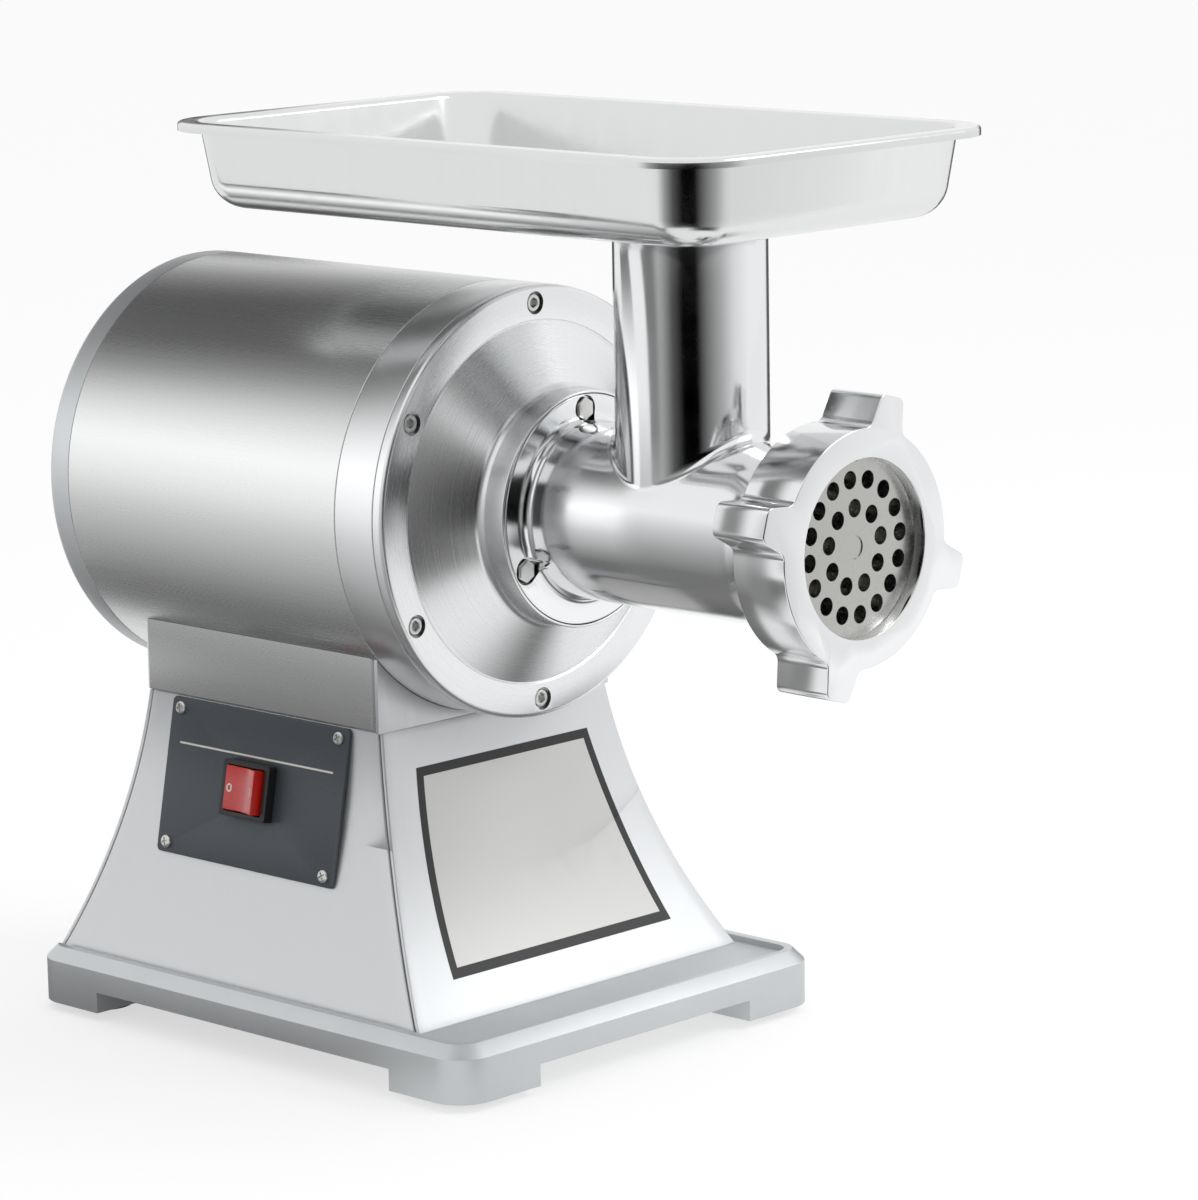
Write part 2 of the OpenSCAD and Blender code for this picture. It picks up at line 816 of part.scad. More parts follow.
module left_panel() {
    color(sheet_grey)
        difference() {
            mirror([1, 0, 0]) right_half_panel();
            on_switch_plate()
                translate([0, 0, -body_depth])
                    linear_extrude(body_depth + panel_t)
                        square(
                            [bezel_w, bezel_h] - 2 * (body_step - end_gap) * [1, 1], center = true
                        );
        }
}

module right_panel() color(sheet_grey) right_half_panel();

module right_half_panel() {
    intersection() {
        pedestal_body(0, seam_h, sink_h);
        difference() {
            side_slab(panel_t);
            front_cut(panel_t + slip_play, 1);
            front_cut(panel_t + slip_play, -1);
        }
    }
}

// Everything in front of (or behind) the inner face of the front (or rear) panel
module front_cut(inset, way) {
    flare = way > 0 ? front_flare : rear_flare;
    bow = way > 0 ? front_bow : rear_bow;
    translate([0, cover_y - saddle_mid, 0])
        rotate(-90 * way)
            intersection() {
                bow_cutter(saddle_l / 2, saddle_l / 2 + flare, bow, inset, 2 * base_l);
                translate([0, -base_l, sink_h - 2 * over])
                    cube([2 * base_l, 2 * base_l, ped_h + 4 * over]);
            }
}

module end_panel(way) {
    intersection() {
        pedestal_body(0, seam_h, sink_h);
        front_cut(panel_t, way);
    }
}

// The front sheet runs on up over the end of the saddle to the drum
module front_panel() {
    color(sheet_grey) {
        end_panel(1);
        difference() {
            translate([-saddle_w / 2, cover_y - saddle_front, seam_h])
                cube([saddle_w, panel_t, axis_h - seam_h]);
            rod(drum_d + 2 * seat_play, saddle_rear, saddle_front + over);
            saddle_shoulder();
        }
    }
}

// Clears all that stands higher than where the saddle meets the drum
module saddle_shoulder() {
    contact = axis_h - sqrt(pow(drum_d / 2, 2) - pow(saddle_w / 2, 2));
    translate([-saddle_w, cover_y - saddle_front - over, contact])
        cube([2 * saddle_w, saddle_l + 2 * over, axis_h]);
}

module rear_panel() {
    color(sheet_grey)
        difference() {
            end_panel(-1);
            rear_place(gland_h)
                cylinder(d = gland_body_d + 2 * seat_play, h = 3 * gland_in, center = true);
        }
}

// Points a child's +Z squarely out of the rear panel at a height
module rear_place(height) {
    foot = saddle_l / 2 + rear_flare;
    reach = bowed_at(saddle_l / 2, foot, rear_bow, height);
    rise = atan(reach - bowed_at(saddle_l / 2, foot, rear_bow, height + 1));
    translate([0, cover_y - saddle_mid + reach, height]) rotate([rise - 90, 0, 0]) children();
}

module saddle() {
    color(satin)
        difference() {
            union() {
                translate([-saddle_w / 2, cover_y - saddle_front + panel_t, seam_h])
                    cube([saddle_w, saddle_l - panel_t, axis_h - seam_h]);
                translate([
                    -ped_top_w / 2 + saddle_gap, cover_y - saddle_front + saddle_gap,
                    seam_h - saddle_web
                ])
                    cube([ped_top_w - 2 * saddle_gap, saddle_l - 2 * saddle_gap, saddle_web]);
            }
            rod(drum_d + 2 * seat_play, saddle_rear - over, saddle_front + over);
            saddle_shoulder();
            saddle_screw_places()
                translate([0, 0, -over]) cylinder(d = saddle_screw_d, h = saddle_w / 4);
            translate([0, cover_y - saddle_mid, seam_h - saddle_web - over])
                cylinder(d = wire_hole_d, h = 2 * saddle_web);
        }
}

module saddle_screw_places() {
    for (x = [-1, 1], y = [-1, 1])
        translate([
            x * saddle_screw_x, cover_y - saddle_mid + y * saddle_screw_y, seam_h - saddle_web
        ])
            children();
}

module saddle_screws() {
    outer = saddle_screw_x + saddle_screw_d / 2;
    reach = axis_h - sqrt(pow(drum_d / 2, 2) - pow(outer, 2)) - seam_h;
    color(steel)
        saddle_screw_places()
            rotate([180, 0, 0]) {
                hex_head(bolt_flats, bolt_head);
                translate([0, 0, -saddle_web - reach + end_gap])
                    cylinder(d = saddle_screw_d - 2 * seat_play, h = saddle_web + reach);
            }
}

module cable_gland() {
    color(black)
        rear_place(gland_h)
            difference() {
                union() {
                    translate([0, 0, slip_play]) cylinder(d = gland_flange_d, h = gland_flange_l);
                    translate([0, 0, slip_play + gland_flange_l])
                        cylinder(
                            d1 = gland_flange_d - 3, d2 = gland_body_d - 1,
                            h = gland_out - slip_play - gland_flange_l
                        );
                    translate([0, 0, -gland_in]) cylinder(d = gland_body_d, h = gland_body_l);
                    translate([0, 0, -panel_t - slip_play - gland_nut_l])
                        hex_head(gland_nut, gland_nut_l);
                }
                translate([0, 0, -gland_in - over])
                    cylinder(d = inlet_d, h = gland_in + gland_out + 2 * over);
            }
}

// ---- Drum and motor ------------------------------------------------------------------------

module drum_shell() {
    color(steel)
        difference() {
            tube(drum_d, drum_bore, drum_rear, drum_front);
            saddle_screw_places() cylinder(d = saddle_screw_d, h = axis_h - seam_h);
        }
}

module rear_cap() {
    color(cast_grey)
        difference() {
            facing(drum_rear) rotate([180, 0, 0]) rounded_disc(drum_d, cap_l, edge_r);
            rod(drum_bore, cap_rear + cap_wall, drum_rear + over);
            facing(cap_rear - over)
                for (i = [0:vents - 1])
                    rotate(360 * i / vents)
                        translate([vent_in_r, -vent_w / 2, 0])
                            cube([vent_out_r - vent_in_r, vent_w, cap_wall + 2 * over]);
            facing(cap_rear - over)
                ring_of(cap_screws_n, cap_screw_r, cap_screw_a)
                    cylinder(d = cap_screw_d + 2 * seat_play, h = cap_wall + 2 * over);
        }
}

module rear_cap_screws() {
    color(steel)
        facing(cap_rear)
            ring_of(cap_screws_n, cap_screw_r, cap_screw_a)
                rotate([180, 0, 0]) pan_screw(cap_screw_d, 0.6 * cap_screw_d, cap_screw_l);
}

module gearbox_housing() {
    color(cast_grey)
        difference() {
            union() {
                rod(drum_d, drum_front, -cover_flange_t);
                rod(drum_bore - 2 * seat_play, housing_rear, drum_front + over);
                tube(stator_d, stator_d - 2 * clamp_wall, stator_front, housing_rear + over);
                rod(
                    motor_bearing_d + 2 * seat_wall, motor_hub_rear - cup_floor,
                    housing_rear + over
                );
                countershaft_rod(
                    small_bearing_d + 2 * seat_wall, small_rear - cup_floor, housing_rear
                );
            }
            difference() {
                rod(drum_bore - 2 * housing_wall, bearing_wall, over);
                facing(bearing_wall - over)
                    ring_of(cover_screws_n, cover_screw_pcd / 2 - screw_pad_in, cover_screw_a)
                        cylinder(d = screw_pad_d, h = gearbox_l + 2 * over);
            }
            rod(motor_bearing_d, motor_hub_rear, bearing_wall + over);
            rod(
                motor_bearing_d - 2 * seat_step, motor_hub_rear - cup_floor - over, bearing_wall
            );
            countershaft_rod(small_bearing_d, small_rear, bearing_wall + over);
            facing(-cover_flange_t - cover_screw_reach)
                ring_of(cover_screws_n, cover_screw_pcd / 2, cover_screw_a)
                    cylinder(d = cover_screw_d + 1, h = cover_screw_reach + over);
        }
}

module countershaft_rod(diameter, rear, front) {
    translate([0, 0, -gear_distance]) rod(diameter, rear, front);
}

module front_cover() {
    dish_r = dish_d / 2;
    boss_r = boss_d / 2;
    chamfer = 1;
    land = 4;       // of the cover's face inside the dish, and of the dish inside the boss
    color(satin)
        difference() {
            facing(0)
                rotate_extrude() {
                    polygon(concat(
                        [[0, -cover_flange_t], [drum_d / 2, -cover_flange_t]],
                        arc([drum_d / 2 - edge_r, -edge_r], edge_r, 0, 90, 8),
                        [
                            [dish_r, 0], [dish_r - dish_step / 2, -dish_step],
                            [boss_r + 2 * chamfer, dish_rise - chamfer],
                            [boss_r, dish_rise + chamfer], [boss_r, boss_l - chamfer],
                            [boss_r - chamfer, boss_l], [0, boss_l]
                        ]
                    ));
                }
            facing(0)
                rotate_extrude()
                    polygon([
                        [0, -cover_flange_t - over], [dish_r - land, -cover_flange_t - over],
                        [dish_r - land - chamfer, -dish_wall],
                        [boss_r - land, dish_rise - dish_wall],
                        [0, dish_rise - dish_wall]
                    ]);
            cover_bores();
        }
    color(satin)
        difference() {
            union() {
                rod(
                    spindle_bearing_d + 2 * seat_wall, spindle_hub_rear,
                    dish_rise - dish_wall + over
                );
                countershaft_rod(
                    small_bearing_d + 2 * seat_wall, countershaft_front_bearing, small_hub_in
                );
            }
            cover_bores();
        }
}

module cover_bores() {
    rod(spindle_bearing_d, spindle_hub_rear - over, spindle_bearing_w);
    rod(spindle_bearing_d - 2 * seat_step, spindle_bearing_w - over, spindle_bearing_w + over);
    rod(seal_d, spindle_bearing_w + end_gap, recess_floor + over);
    rod(flange_d + 2 * seat_play, recess_floor, boss_l + over);
    countershaft_rod(
        small_bearing_d, countershaft_front_bearing - over,
        countershaft_front_bearing + small_bearing_w
    );
    facing(recess_floor - bolt_reach)
        ring_of(head_bolts_n, bolt_pcd / 2, head_bolt_a)
            cylinder(d = bolt_d, h = bolt_reach + over);
    facing(-cover_flange_t - over)
        ring_of(cover_screws_n, cover_screw_pcd / 2, cover_screw_a) {
            cylinder(d = cover_screw_d + 1, h = cover_flange_t + 2 * over);
            translate([0, 0, over])
                cylinder(d = 2 * cover_screw_d + screw_play, h = cover_flange_t);
        }
}

module cover_screws() {
    color(steel)
        facing(-cover_head_sink)
            ring_of(cover_screws_n, cover_screw_pcd / 2, cover_screw_a)
                socket_screw(cover_screw_d, cover_screw_l);
}

module spindle_bearings() {
    color(steel) {
        facing(-spindle_bearing_w - seat_play)
            bearing(spindle_d, spindle_bearing_d, spindle_bearing_w);
        facing(0) bearing(spindle_d, spindle_bearing_d, spindle_bearing_w);
    }
}

module oil_seal() {
    color(black)
        facing(spindle_bearing_w + end_gap)
            difference() {
                cylinder(d = seal_d - 2 * seat_play, h = seal_w - end_gap);
                translate([0, 0, -over])
                    cylinder(d = spindle_d + 2 * running_play, h = seal_w + 2 * over);
                translate([0, 0, seal_w - seal_lip])
                    cylinder(d1 = spindle_d + 1, d2 = seal_d - 8, h = seal_lip + over);
            }
}

// ---- Gear train ----------------------------------------------------------------------------

module output_spindle() {
    front = recess_floor - end_gap;
    rear = -spindle_bearing_w - end_gap;
    color(steel)
        difference() {
            union() {
                rod(spindle_d, rear, front);
                rod(spindle_d + 6, rear - spindle_collar_w, rear);
                rod(spindle_core_d, slow_rear, rear);
            }
            facing(front - tail_l)
                translate([0, 0, tail_l / 2])
                    cube(
                        [tail_square + 2 * tail_gap, tail_square + 2 * tail_gap, tail_l + over],
                        center = true
                    );
        }
}

module output_gear() {
    color(satin)
        facing(slow_rear)
            rotate(-90 + 180 / wheel_teeth)
                gear(wheel_teeth, slow_face, spindle_core_d + 2 * seat_play);
}

module countershaft() {
    color(satin) {
        countershaft_rod(small_shaft_d, small_rear + end_gap, -small_hub_in - end_gap);
        translate([0, 0, -gear_distance])
            facing(slow_rear) rotate(90) gear(pinion_teeth, slow_face, small_shaft_d - over);
        countershaft_rod(small_shaft_d + 4, slow_rear - collar_w, slow_rear);
    }
}

module countershaft_wheel() {
    color(satin)
        translate([0, 0, -gear_distance])
            facing(fast_rear)
                rotate(90 + 180 / wheel_teeth)
                    gear(wheel_teeth, fast_face, small_shaft_d + 2 * seat_play);
}

module countershaft_bearings() {
    color(steel)
        translate([0, 0, -gear_distance]) {
            facing(small_rear) bearing(small_shaft_d, small_bearing_d, small_bearing_w);
            facing(countershaft_front_bearing)
                bearing(small_shaft_d, small_bearing_d, small_bearing_w);
        }
}

module motor_pinion() {
    color(satin)
        facing(fast_rear)
            rotate(-90) gear(pinion_teeth, fast_face, pinion_seat_d + 2 * seat_play);
}

module rotor() {
    outer = rotor_d - 2 * end_ring_in;
    inner = outer - 2 * end_ring_wall;
    color(cast_grey) {
        rod(pinion_seat_d, motor_hub_rear, fast_rear + fast_face);
        rod(shaft_d, fan_front - fan_t, bearing_wall - end_gap);
        rod(rotor_d, stator_rear, stator_front);
        tube(outer, inner, stator_front, stator_front + end_ring_l);
        tube(outer, inner, stator_rear - end_ring_l, stator_rear);
    }
}

module motor_bearings() {
    color(steel) {
        facing(motor_hub_rear) bearing(shaft_d, motor_bearing_d, motor_bearing_w);
        facing(rear_bearing_rear) bearing(shaft_d, motor_bearing_d, motor_bearing_w);
    }
}

module stator_core() {
    color(satin) tube(stator_d, stator_bore, stator_rear, stator_front);
}

// The end turns of the windings, rounded rings at both ends of the stator
module stator_windings() {
    color(copper) {
        facing(stator_front) winding();
        facing(stator_rear) rotate([180, 0, 0]) winding();
    }
}

module winding() {
    inner = stator_bore / 2 + winding_clear;
    outer = stator_d / 2 - winding_cover;
    rotate_extrude()
        polygon(concat(
            [[inner, 0], [outer, 0]],
            arc([outer - winding_r, winding_l - winding_r], winding_r, 0, 90, 6),
            arc([inner + winding_r, winding_l - winding_r], winding_r, 90, 180, 6)
        ));
}

module rear_end_shield() {
    hub_front = shield_front + shield_hub_l;
    color(cast_grey)
        difference() {
            union() {
                rod(drum_bore - 2 * seat_play, shield_rear, shield_front);
                tube(stator_d, stator_d - 2 * clamp_wall, shield_front - over, stator_rear);
                rod(motor_bearing_d + 2 * seat_wall, rear_bearing_rear, hub_front);
                facing(cap_rear + cap_wall)
                    ring_of(cap_screws_n, cap_screw_r, cap_screw_a)
                        cylinder(d = 3 * cap_screw_d, h = shield_front - cap_rear - cap_wall);
            }
            rod(motor_bearing_d, rear_bearing_rear - over, rear_bearing_rear + motor_bearing_w);
            rod(motor_bearing_d - 2 * seat_step, rear_bearing_rear, hub_front + over);
            facing(cap_rear)
                ring_of(cap_screws_n, cap_screw_r, cap_screw_a)
                    cylinder(d = cap_screw_d, h = cap_screw_l + cap_wall + over);
            facing(shield_rear - over)
                ring_of(air_holes_n, stator_d / 2 - air_hole_in, 180 / air_holes_n)
                    cylinder(d = air_hole_d, h = shield_t + 2 * over);
        }
}

module cooling_fan() {
    reach = cap_screw_r - fan_reach_gap;
    root = (shaft_d + fan_hub_wall) / 2;
    color(black)
        difference() {
            facing(fan_front - fan_t) {
                cylinder(d = shaft_d + 2 * fan_hub_wall, h = fan_t);
                cylinder(r = reach, h = fan_disc_t);
                for (i = [0:fan_blades - 1])
                    rotate(360 * i / fan_blades)
                        translate([root, -fan_blade_t / 2, 0])
                            cube([reach - fan_rim - root, fan_blade_t, fan_t]);
            }
            rod(shaft_d + 2 * seat_play, fan_front - fan_t - over, fan_front + over);
        }
}

// ---- Grinding head -------------------------------------------------------------------------

module head_body() {
    mouth_rear = ring_rear - mouth_shoulder;
    color(steel)
        difference() {
            union() {
                rod(flange_d, recess_floor, boss_l);
                rod(barrel_d, boss_l - over, mouth_rear);
                facing(boss_l)
                    rotate_extrude()
                        difference() {
                            translate([barrel_d / 2 - over, 0]) square([cove_r + over, cove_r]);
                            translate([barrel_d / 2 + cove_r, cove_r]) circle(cove_r);
                        }
                facing(mouth_rear - mouth_blend)
                    cylinder(d1 = barrel_d, d2 = mouth_d, h = mouth_blend);
                rod(mouth_d, mouth_rear, mouth_reach);
                translate([0, cover_y - neck_ahead, axis_h])
                    cylinder(d = neck_d, h = tray_seat_h - axis_h);
            }
            rod(barrel_bore, recess_floor + back_wall, barrel_front + over);
            rod(mouth_bore, barrel_front, mouth_reach + over);
            rod(worm_hub_d + 2 * running_play, recess_floor - over, recess_floor + back_wall + over);
            translate([0, cover_y - neck_ahead, axis_h])
                cylinder(d = neck_bore, h = tray_seat_h - axis_h + over);
            facing(recess_floor - over)
                ring_of(head_bolts_n, bolt_pcd / 2, head_bolt_a) {
                    cylinder(d = bolt_d + screw_play, h = flange_t + 2 * over);
                    translate([0, 0, flange_t - pocket_depth + over])
                        cylinder(d = pocket_d, h = pocket_depth + over);
                }
            key_place() cylinder(d = key_d, h = mouth_d);
        }
}

// The key's place: radially outwards from the axis, in the plate's part of the mouth
module key_place() {
    facing(mouth_reach - plate_t / 2 + plate_proud / 2) rotate([-90, 0, 0]) children();
}

module plate_key() {
    color(steel)
        key_place()
            translate([0, 0, mouth_bore / 2 - key_in])
                cylinder(
                    d = key_d - 2 * seat_play, h = (mouth_d - mouth_bore) / 2 + key_in - end_gap
                );
}

module head_bolts() {
    color(steel)
        facing(boss_l - pocket_depth)
            ring_of(head_bolts_n, bolt_pcd / 2, head_bolt_a) {
                rotate(30) hex_head(bolt_flats, bolt_head);
                translate([0, 0, pocket_depth - flange_t - bolt_reach + over])
                    cylinder(d = bolt_d - 2 * seat_play, h = flange_t - pocket_depth + bolt_reach);
            }
}

// ---- Cutting set ---------------------------------------------------------------------------

module grinding_plate() {
    color(satin)
        difference() {
            rod(plate_d, stub_front - plate_t, stub_front);
            rod(journal_d + 2 * running_play, stub_front - plate_t - over, stub_front + over);
            facing(stub_front - plate_t - over)
                for (row = plate_rings)
                    ring_of(row[1], row[0], 90 / row[1])
                        cylinder(d = plate_hole_d, h = plate_t + 2 * over);
            facing(stub_front - plate_t - over)
                translate([-key_d / 2 - slip_play, plate_d / 2 - key_slot, 0])
                    cube([key_d + 2 * slip_play, key_slot + over, plate_t + 2 * over]);
        }
}

// One blade of the knife: its middle line sweeps back as it runs out to the tip
function blade_side(way) = [
    for (i = [0:blade_steps])
        let (
            t = i / blade_steps,
            r = blade_root_r + (knife_d / 2 - blade_root_r) * t,
            half = blade_root_half + (blade_tip_half - blade_root_half) * t,
            sweep = blade_sweep * pow(t, 1.6)
        )
        r * [cos(sweep), sin(sweep)] + way * half * [-sin(sweep), cos(sweep)]
];

module knife() {
    leading = blade_side(-1);
    trailing = blade_side(1);
    color(steel)
        facing(stub_front - plate_t - knife_t)
            difference() {
                union() {
                    cylinder(d = knife_boss_d, h = knife_t - seat_play);
                    for (i = [0:blades - 1])
                        rotate(360 * i / blades)
                            translate([0, 0, knife_back])
                                linear_extrude(knife_t - seat_play - knife_back)
                                    polygon(concat(
                                        leading, [for (k = [blade_steps:-1:0]) trailing[k]]
                                    ));
                }
                translate([0, 0, knife_t / 2])
                    cube(
                        [
                            knife_square + 2 * seat_play, knife_square + 2 * seat_play,
                            knife_t + 2 * over
                        ],
                        center = true
                    );
            }
}

module worm() {
    length = barrel_front - flight_rear - flight_gap;
    color(satin) {
        // Hub in the back wall and the square driving tail
        rod(worm_hub_d, worm_rear - back_wall + seat_play, flight_rear - end_gap);
        facing(recess_floor - end_gap - tail_l + over)
            translate([0, 0, tail_l / 2])
                cube([tail_square, tail_square, tail_l], center = true);
        // Core, the square for the knife and the journal for the plate
        rod(core_d, flight_rear - end_gap - over, barrel_front - end_gap);
        facing(barrel_front - over)
            translate([0, 0, (knife_t + over) / 2])
                cube([knife_square, knife_square, knife_t + over], center = true);
        rod(journal_d, barrel_front, stub_front - end_gap);
        // The flight: one sector swept along the core
        facing(flight_rear)
            linear_extrude(
                height = length, twist = 360 * length / worm_pitch,
                slices = worm_steps * ceil(length / worm_pitch), $fn = round_fn / 2
            )
                flight_section();
    }
}

// Cross-section of the flight: wide at the core, narrow at its edge
module flight_section() {
    polygon(concat(
        arc([0, 0], core_d / 2 - over, -flight_root_a, flight_root_a, 8),
        arc([0, 0], worm_d / 2, flight_tip_a, -flight_tip_a, 6)
    ));
}

module thrust_washer() {
    color(nylon)
        tube(
            barrel_bore - 2 * washer_t, worm_hub_d + 2 * seat_play,
            recess_floor + back_wall + seat_play, flight_rear - seat_play
        );
}

// ---- Ring ----------------------------------------------------------------------------------

module ring_nut() {
    color(steel)
        difference() {
            union() {
                facing(ring_rear) rounded_disc(ring_d, ring_l, ring_edge_r);
                facing(ring_rear)
                    for (i = [0:lugs - 1])
                        rotate(lug_angle + 360 * i / lugs)
                            linear_extrude(ring_l - lug_back) lug_outline();
            }
            rod(outlet_d, ring_rear - over, ring_front + over);
            rod(plate_d + 2 * ring_play, ring_rear - over, stub_front);
            rod(mouth_d + 2 * slip_play, ring_rear - over, mouth_reach + 2 * ring_play);
        }
}

// A lug with a hollow blend at each side of its root
module lug_outline() {
    root = ring_d / 2 - lug_in;
    half = lug_root_w / 2;
    foot = [[root - 6, half + 4], [root + 1, half + 1.5], [root + 4, half - 1]];
    tip = [lug_tip_d / 2, lug_tip_w / 2] - lug_corner_r * [1, 1];
    polygon(concat(
        [for (p = foot) [p[0], -p[1]]],
        arc([tip[0], -tip[1]], lug_corner_r, -90, 0, 4),
        arc(tip, lug_corner_r, 0, 90, 4),
        [for (k = [2:-1:0]) foot[k]]
    ));
}

// ---- Tray ----------------------------------------------------------------------------------

// The tray's hollow body, its walls moved in by the given amount
module tray_body(inset, top) {
    half_w = tray_w / 2 - tray_rim_w - inset;
    half_l = tray_l / 2 - tray_rim_w - inset;
    corner = tray_corner_r - inset;
    low_r = tray_floor_r - inset;
    hull()
        for (x = [-1, 1], y = [-1, 1]) {
            translate([x * (half_w - corner), y * (half_l - corner), top - 1])
                cylinder(r = corner, h = 1, $fn = round_fn);
            translate([
                x * (half_w - tray_taper - corner), y * (half_l - tray_taper - corner), inset
            ])
                cylinder(r = corner - low_r, h = low_r, $fn = round_fn);
            translate([
                x * (half_w - tray_taper - corner), y * (half_l - tray_taper - corner),
                inset + low_r
            ])
                rotate_extrude($fn = round_fn)
                    intersection() {
                        translate([corner - low_r, 0]) circle(low_r, $fn = round_fn);
                        translate([0, -low_r]) square([corner, low_r]);
                    }
        }
}

module tray() {
    color(steel)
        translate([0, tray_y, tray_seat_h])
            difference() {
                union() {
                    tray_body(0, tray_h);
                    translate([0, 0, tray_h - tray_wall])
                        linear_extrude(tray_wall) rounded_rect(tray_w, tray_l, tray_rim_r);
                    translate([0, 0, tray_h - tray_lip])
                        linear_extrude(tray_lip)
                            difference() {
                                rounded_rect(tray_w, tray_l, tray_rim_r);
                                rounded_rect(
                                    tray_w - 2 * tray_wall, tray_l - 2 * tray_wall,
                                    tray_rim_r - tray_wall
                                );
                            }
                    translate([0, tray_hole_y, -collar_l])
                        cylinder(d = collar_d, h = collar_l + over);
                }
                tray_body(tray_wall, tray_h + over);
                translate([0, tray_hole_y, -collar_l - over])
                    cylinder(d = collar_d - 2 * tray_wall, h = collar_l + 3 * over);
            }
}

// ---- Switch --------------------------------------------------------------------------------

// Lays a child on the switch plate: +X forwards, +Y up the plate, +Z outwards
module on_switch_plate() {
    translate([
        -(switch_top_x + switch_low_x) / 2, cover_y - saddle_mid,
        (switch_top_h + switch_low_h) / 2
    ])
        rotate([90, 0, -90]) rotate([-switch_tilt, 0, 0]) children();
}

module plate_screw_places() {
    for (x = [-1, 1], y = [-1, 1])
        translate([x * plate_screw_x, y * plate_screw_y, 0]) children();
}

module switch_plate() {
    color("#4a4f55")
        on_switch_plate()
            difference() {
                linear_extrude(switch_plate_t)
                    difference() {
                        rounded_rect(switch_plate_w, switch_plate_h, plate_corner_r);
                        square([bezel_w, bezel_h] - 2 * bezel_lap * [1, 1], center = true);
                    }
                plate_screw_places()
                    translate([0, 0, -over])
                        cylinder(d = plate_screw_d + screw_play, h = switch_plate_t + 2 * over);
            }
}

module switch_plate_screws() {
    color(steel)
        on_switch_plate()
            plate_screw_places()
                translate([0, 0, switch_plate_t])
                    pan_screw(plate_screw_d, plate_screw_head, plate_screw_l);
}

// The switch's body: a bezel on the plate and a box behind it, with a well for the rocker
module switch_body() {
    color(black)
        on_switch_plate()
            difference() {
                union() {
                    translate([0, 0, switch_plate_t])
                        linear_extrude(bezel_out)
                            rounded_rect(bezel_w, bezel_h, bezel_corner_r);
                    translate([0, 0, -body_depth])
                        linear_extrude(body_depth + switch_plate_t + over)
                            square([bezel_w, bezel_h] - 2 * body_step * [1, 1], center = true);
                }
                translate([0, 0, -well_depth])
                    linear_extrude(body_depth)
                        square([rocker_w, rocker_h] + 2 * well_gap * [1, 1], center = true);
                translate([0, 0, rocker_pivot])
                    rotate([90, 0, 0])
                        cylinder(
                            d = pin_d + 2 * running_play, h = rocker_h + 2 * (pin_out + slip_play),
                            center = true
                        );
            }
}

// A V-topped rocker on two stub pins, tipped to its off side
module rocker() {
    reach = rocker_w / 2 - rocker_set_in;
    rise = bezel_out + switch_plate_t - rocker_pivot;
    color("#c4201c")
        on_switch_plate()
            translate([0, 0, rocker_pivot])
                rotate([90, -rocker_throw / 2, 0]) {
                    linear_extrude(rocker_h, center = true)
                        polygon([
                            [-reach, rise + rocker_horn], [-reach / 2, rise + rocker_horn / 3],
                            [0, rise], [reach / 2, rise + rocker_horn / 3],
                            [reach, rise + rocker_horn], [reach - 1, pin_d / 6],
                            [rocker_heel, -pin_d], [-rocker_heel, -pin_d], [1 - reach, pin_d / 6]
                        ]);
                    cylinder(d = pin_d, h = rocker_h + 2 * pin_out, center = true);
                }
}

// ---- Inside the pedestal -------------------------------------------------------------------

module start_capacitor() {
    color(nylon)
        translate([
            capacitor_x, cover_y - saddle_mid - capacitor_ahead, inside_floor + capacitor_h
        ])
            rotate([-90, 0, 0]) {
                cylinder(d = capacitor_d, h = capacitor_l);
                for (side = [-1, 1])
                    translate([side * tab_x - tab_w / 2, -tab_t / 2, capacitor_l - over])
                        cube([tab_w, tab_t, tab_l + over]);
            }
}

// A saddle clip under the capacitor, standing on the bottom cover
module capacitor_clip() {
    color(steel)
        translate([capacitor_x, cover_y - saddle_mid - clip_ahead, inside_floor])
            difference() {
                translate([-clip_w / 2, 0, 0]) cube([clip_w, clip_l, capacitor_h]);
                translate([0, -over, capacitor_h])
                    rotate([-90, 0, 0])
                        cylinder(d = capacitor_d + 2 * seat_play, h = clip_l + 2 * over);
            }
}

module terminal_block() {
    length = terminal_ways * terminal_pitch;
    color(nylon)
        translate([-terminal_x, cover_y - saddle_mid - length / 2, inside_floor])
            difference() {
                cube([terminal_w, length, terminal_h]);
                for (i = [0:terminal_ways - 1], x = [terminal_hole_x, terminal_w - terminal_hole_x])
                    translate([x, (i + 0.5) * terminal_pitch, terminal_h / 2])
                        cylinder(d = terminal_hole_d, h = terminal_h);
            }
}

base_casting();
rubber_feet();
foot_screws();
bottom_cover();
bottom_cover_screws();
front_panel();
rear_panel();
left_panel();
right_panel();
saddle();
saddle_screws();
cable_gland();
drum_shell();
rear_cap();
rear_cap_screws();
gearbox_housing();
front_cover();
cover_screws();
head_body();
head_bolts();
plate_key();
grinding_plate();
ring_nut();
knife();
worm();
thrust_washer();
output_spindle();
output_gear();
spindle_bearings();
oil_seal();
countershaft();
countershaft_wheel();
countershaft_bearings();
rotor();
motor_pinion();
motor_bearings();
stator_core();
stator_windings();
rear_end_shield();
cooling_fan();
tray();
switch_plate();
switch_plate_screws();
switch_body();
rocker();
start_capacitor();
capacitor_clip();
terminal_block();
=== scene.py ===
import math

import bmesh
import bpy
from mathutils import Matrix, Vector

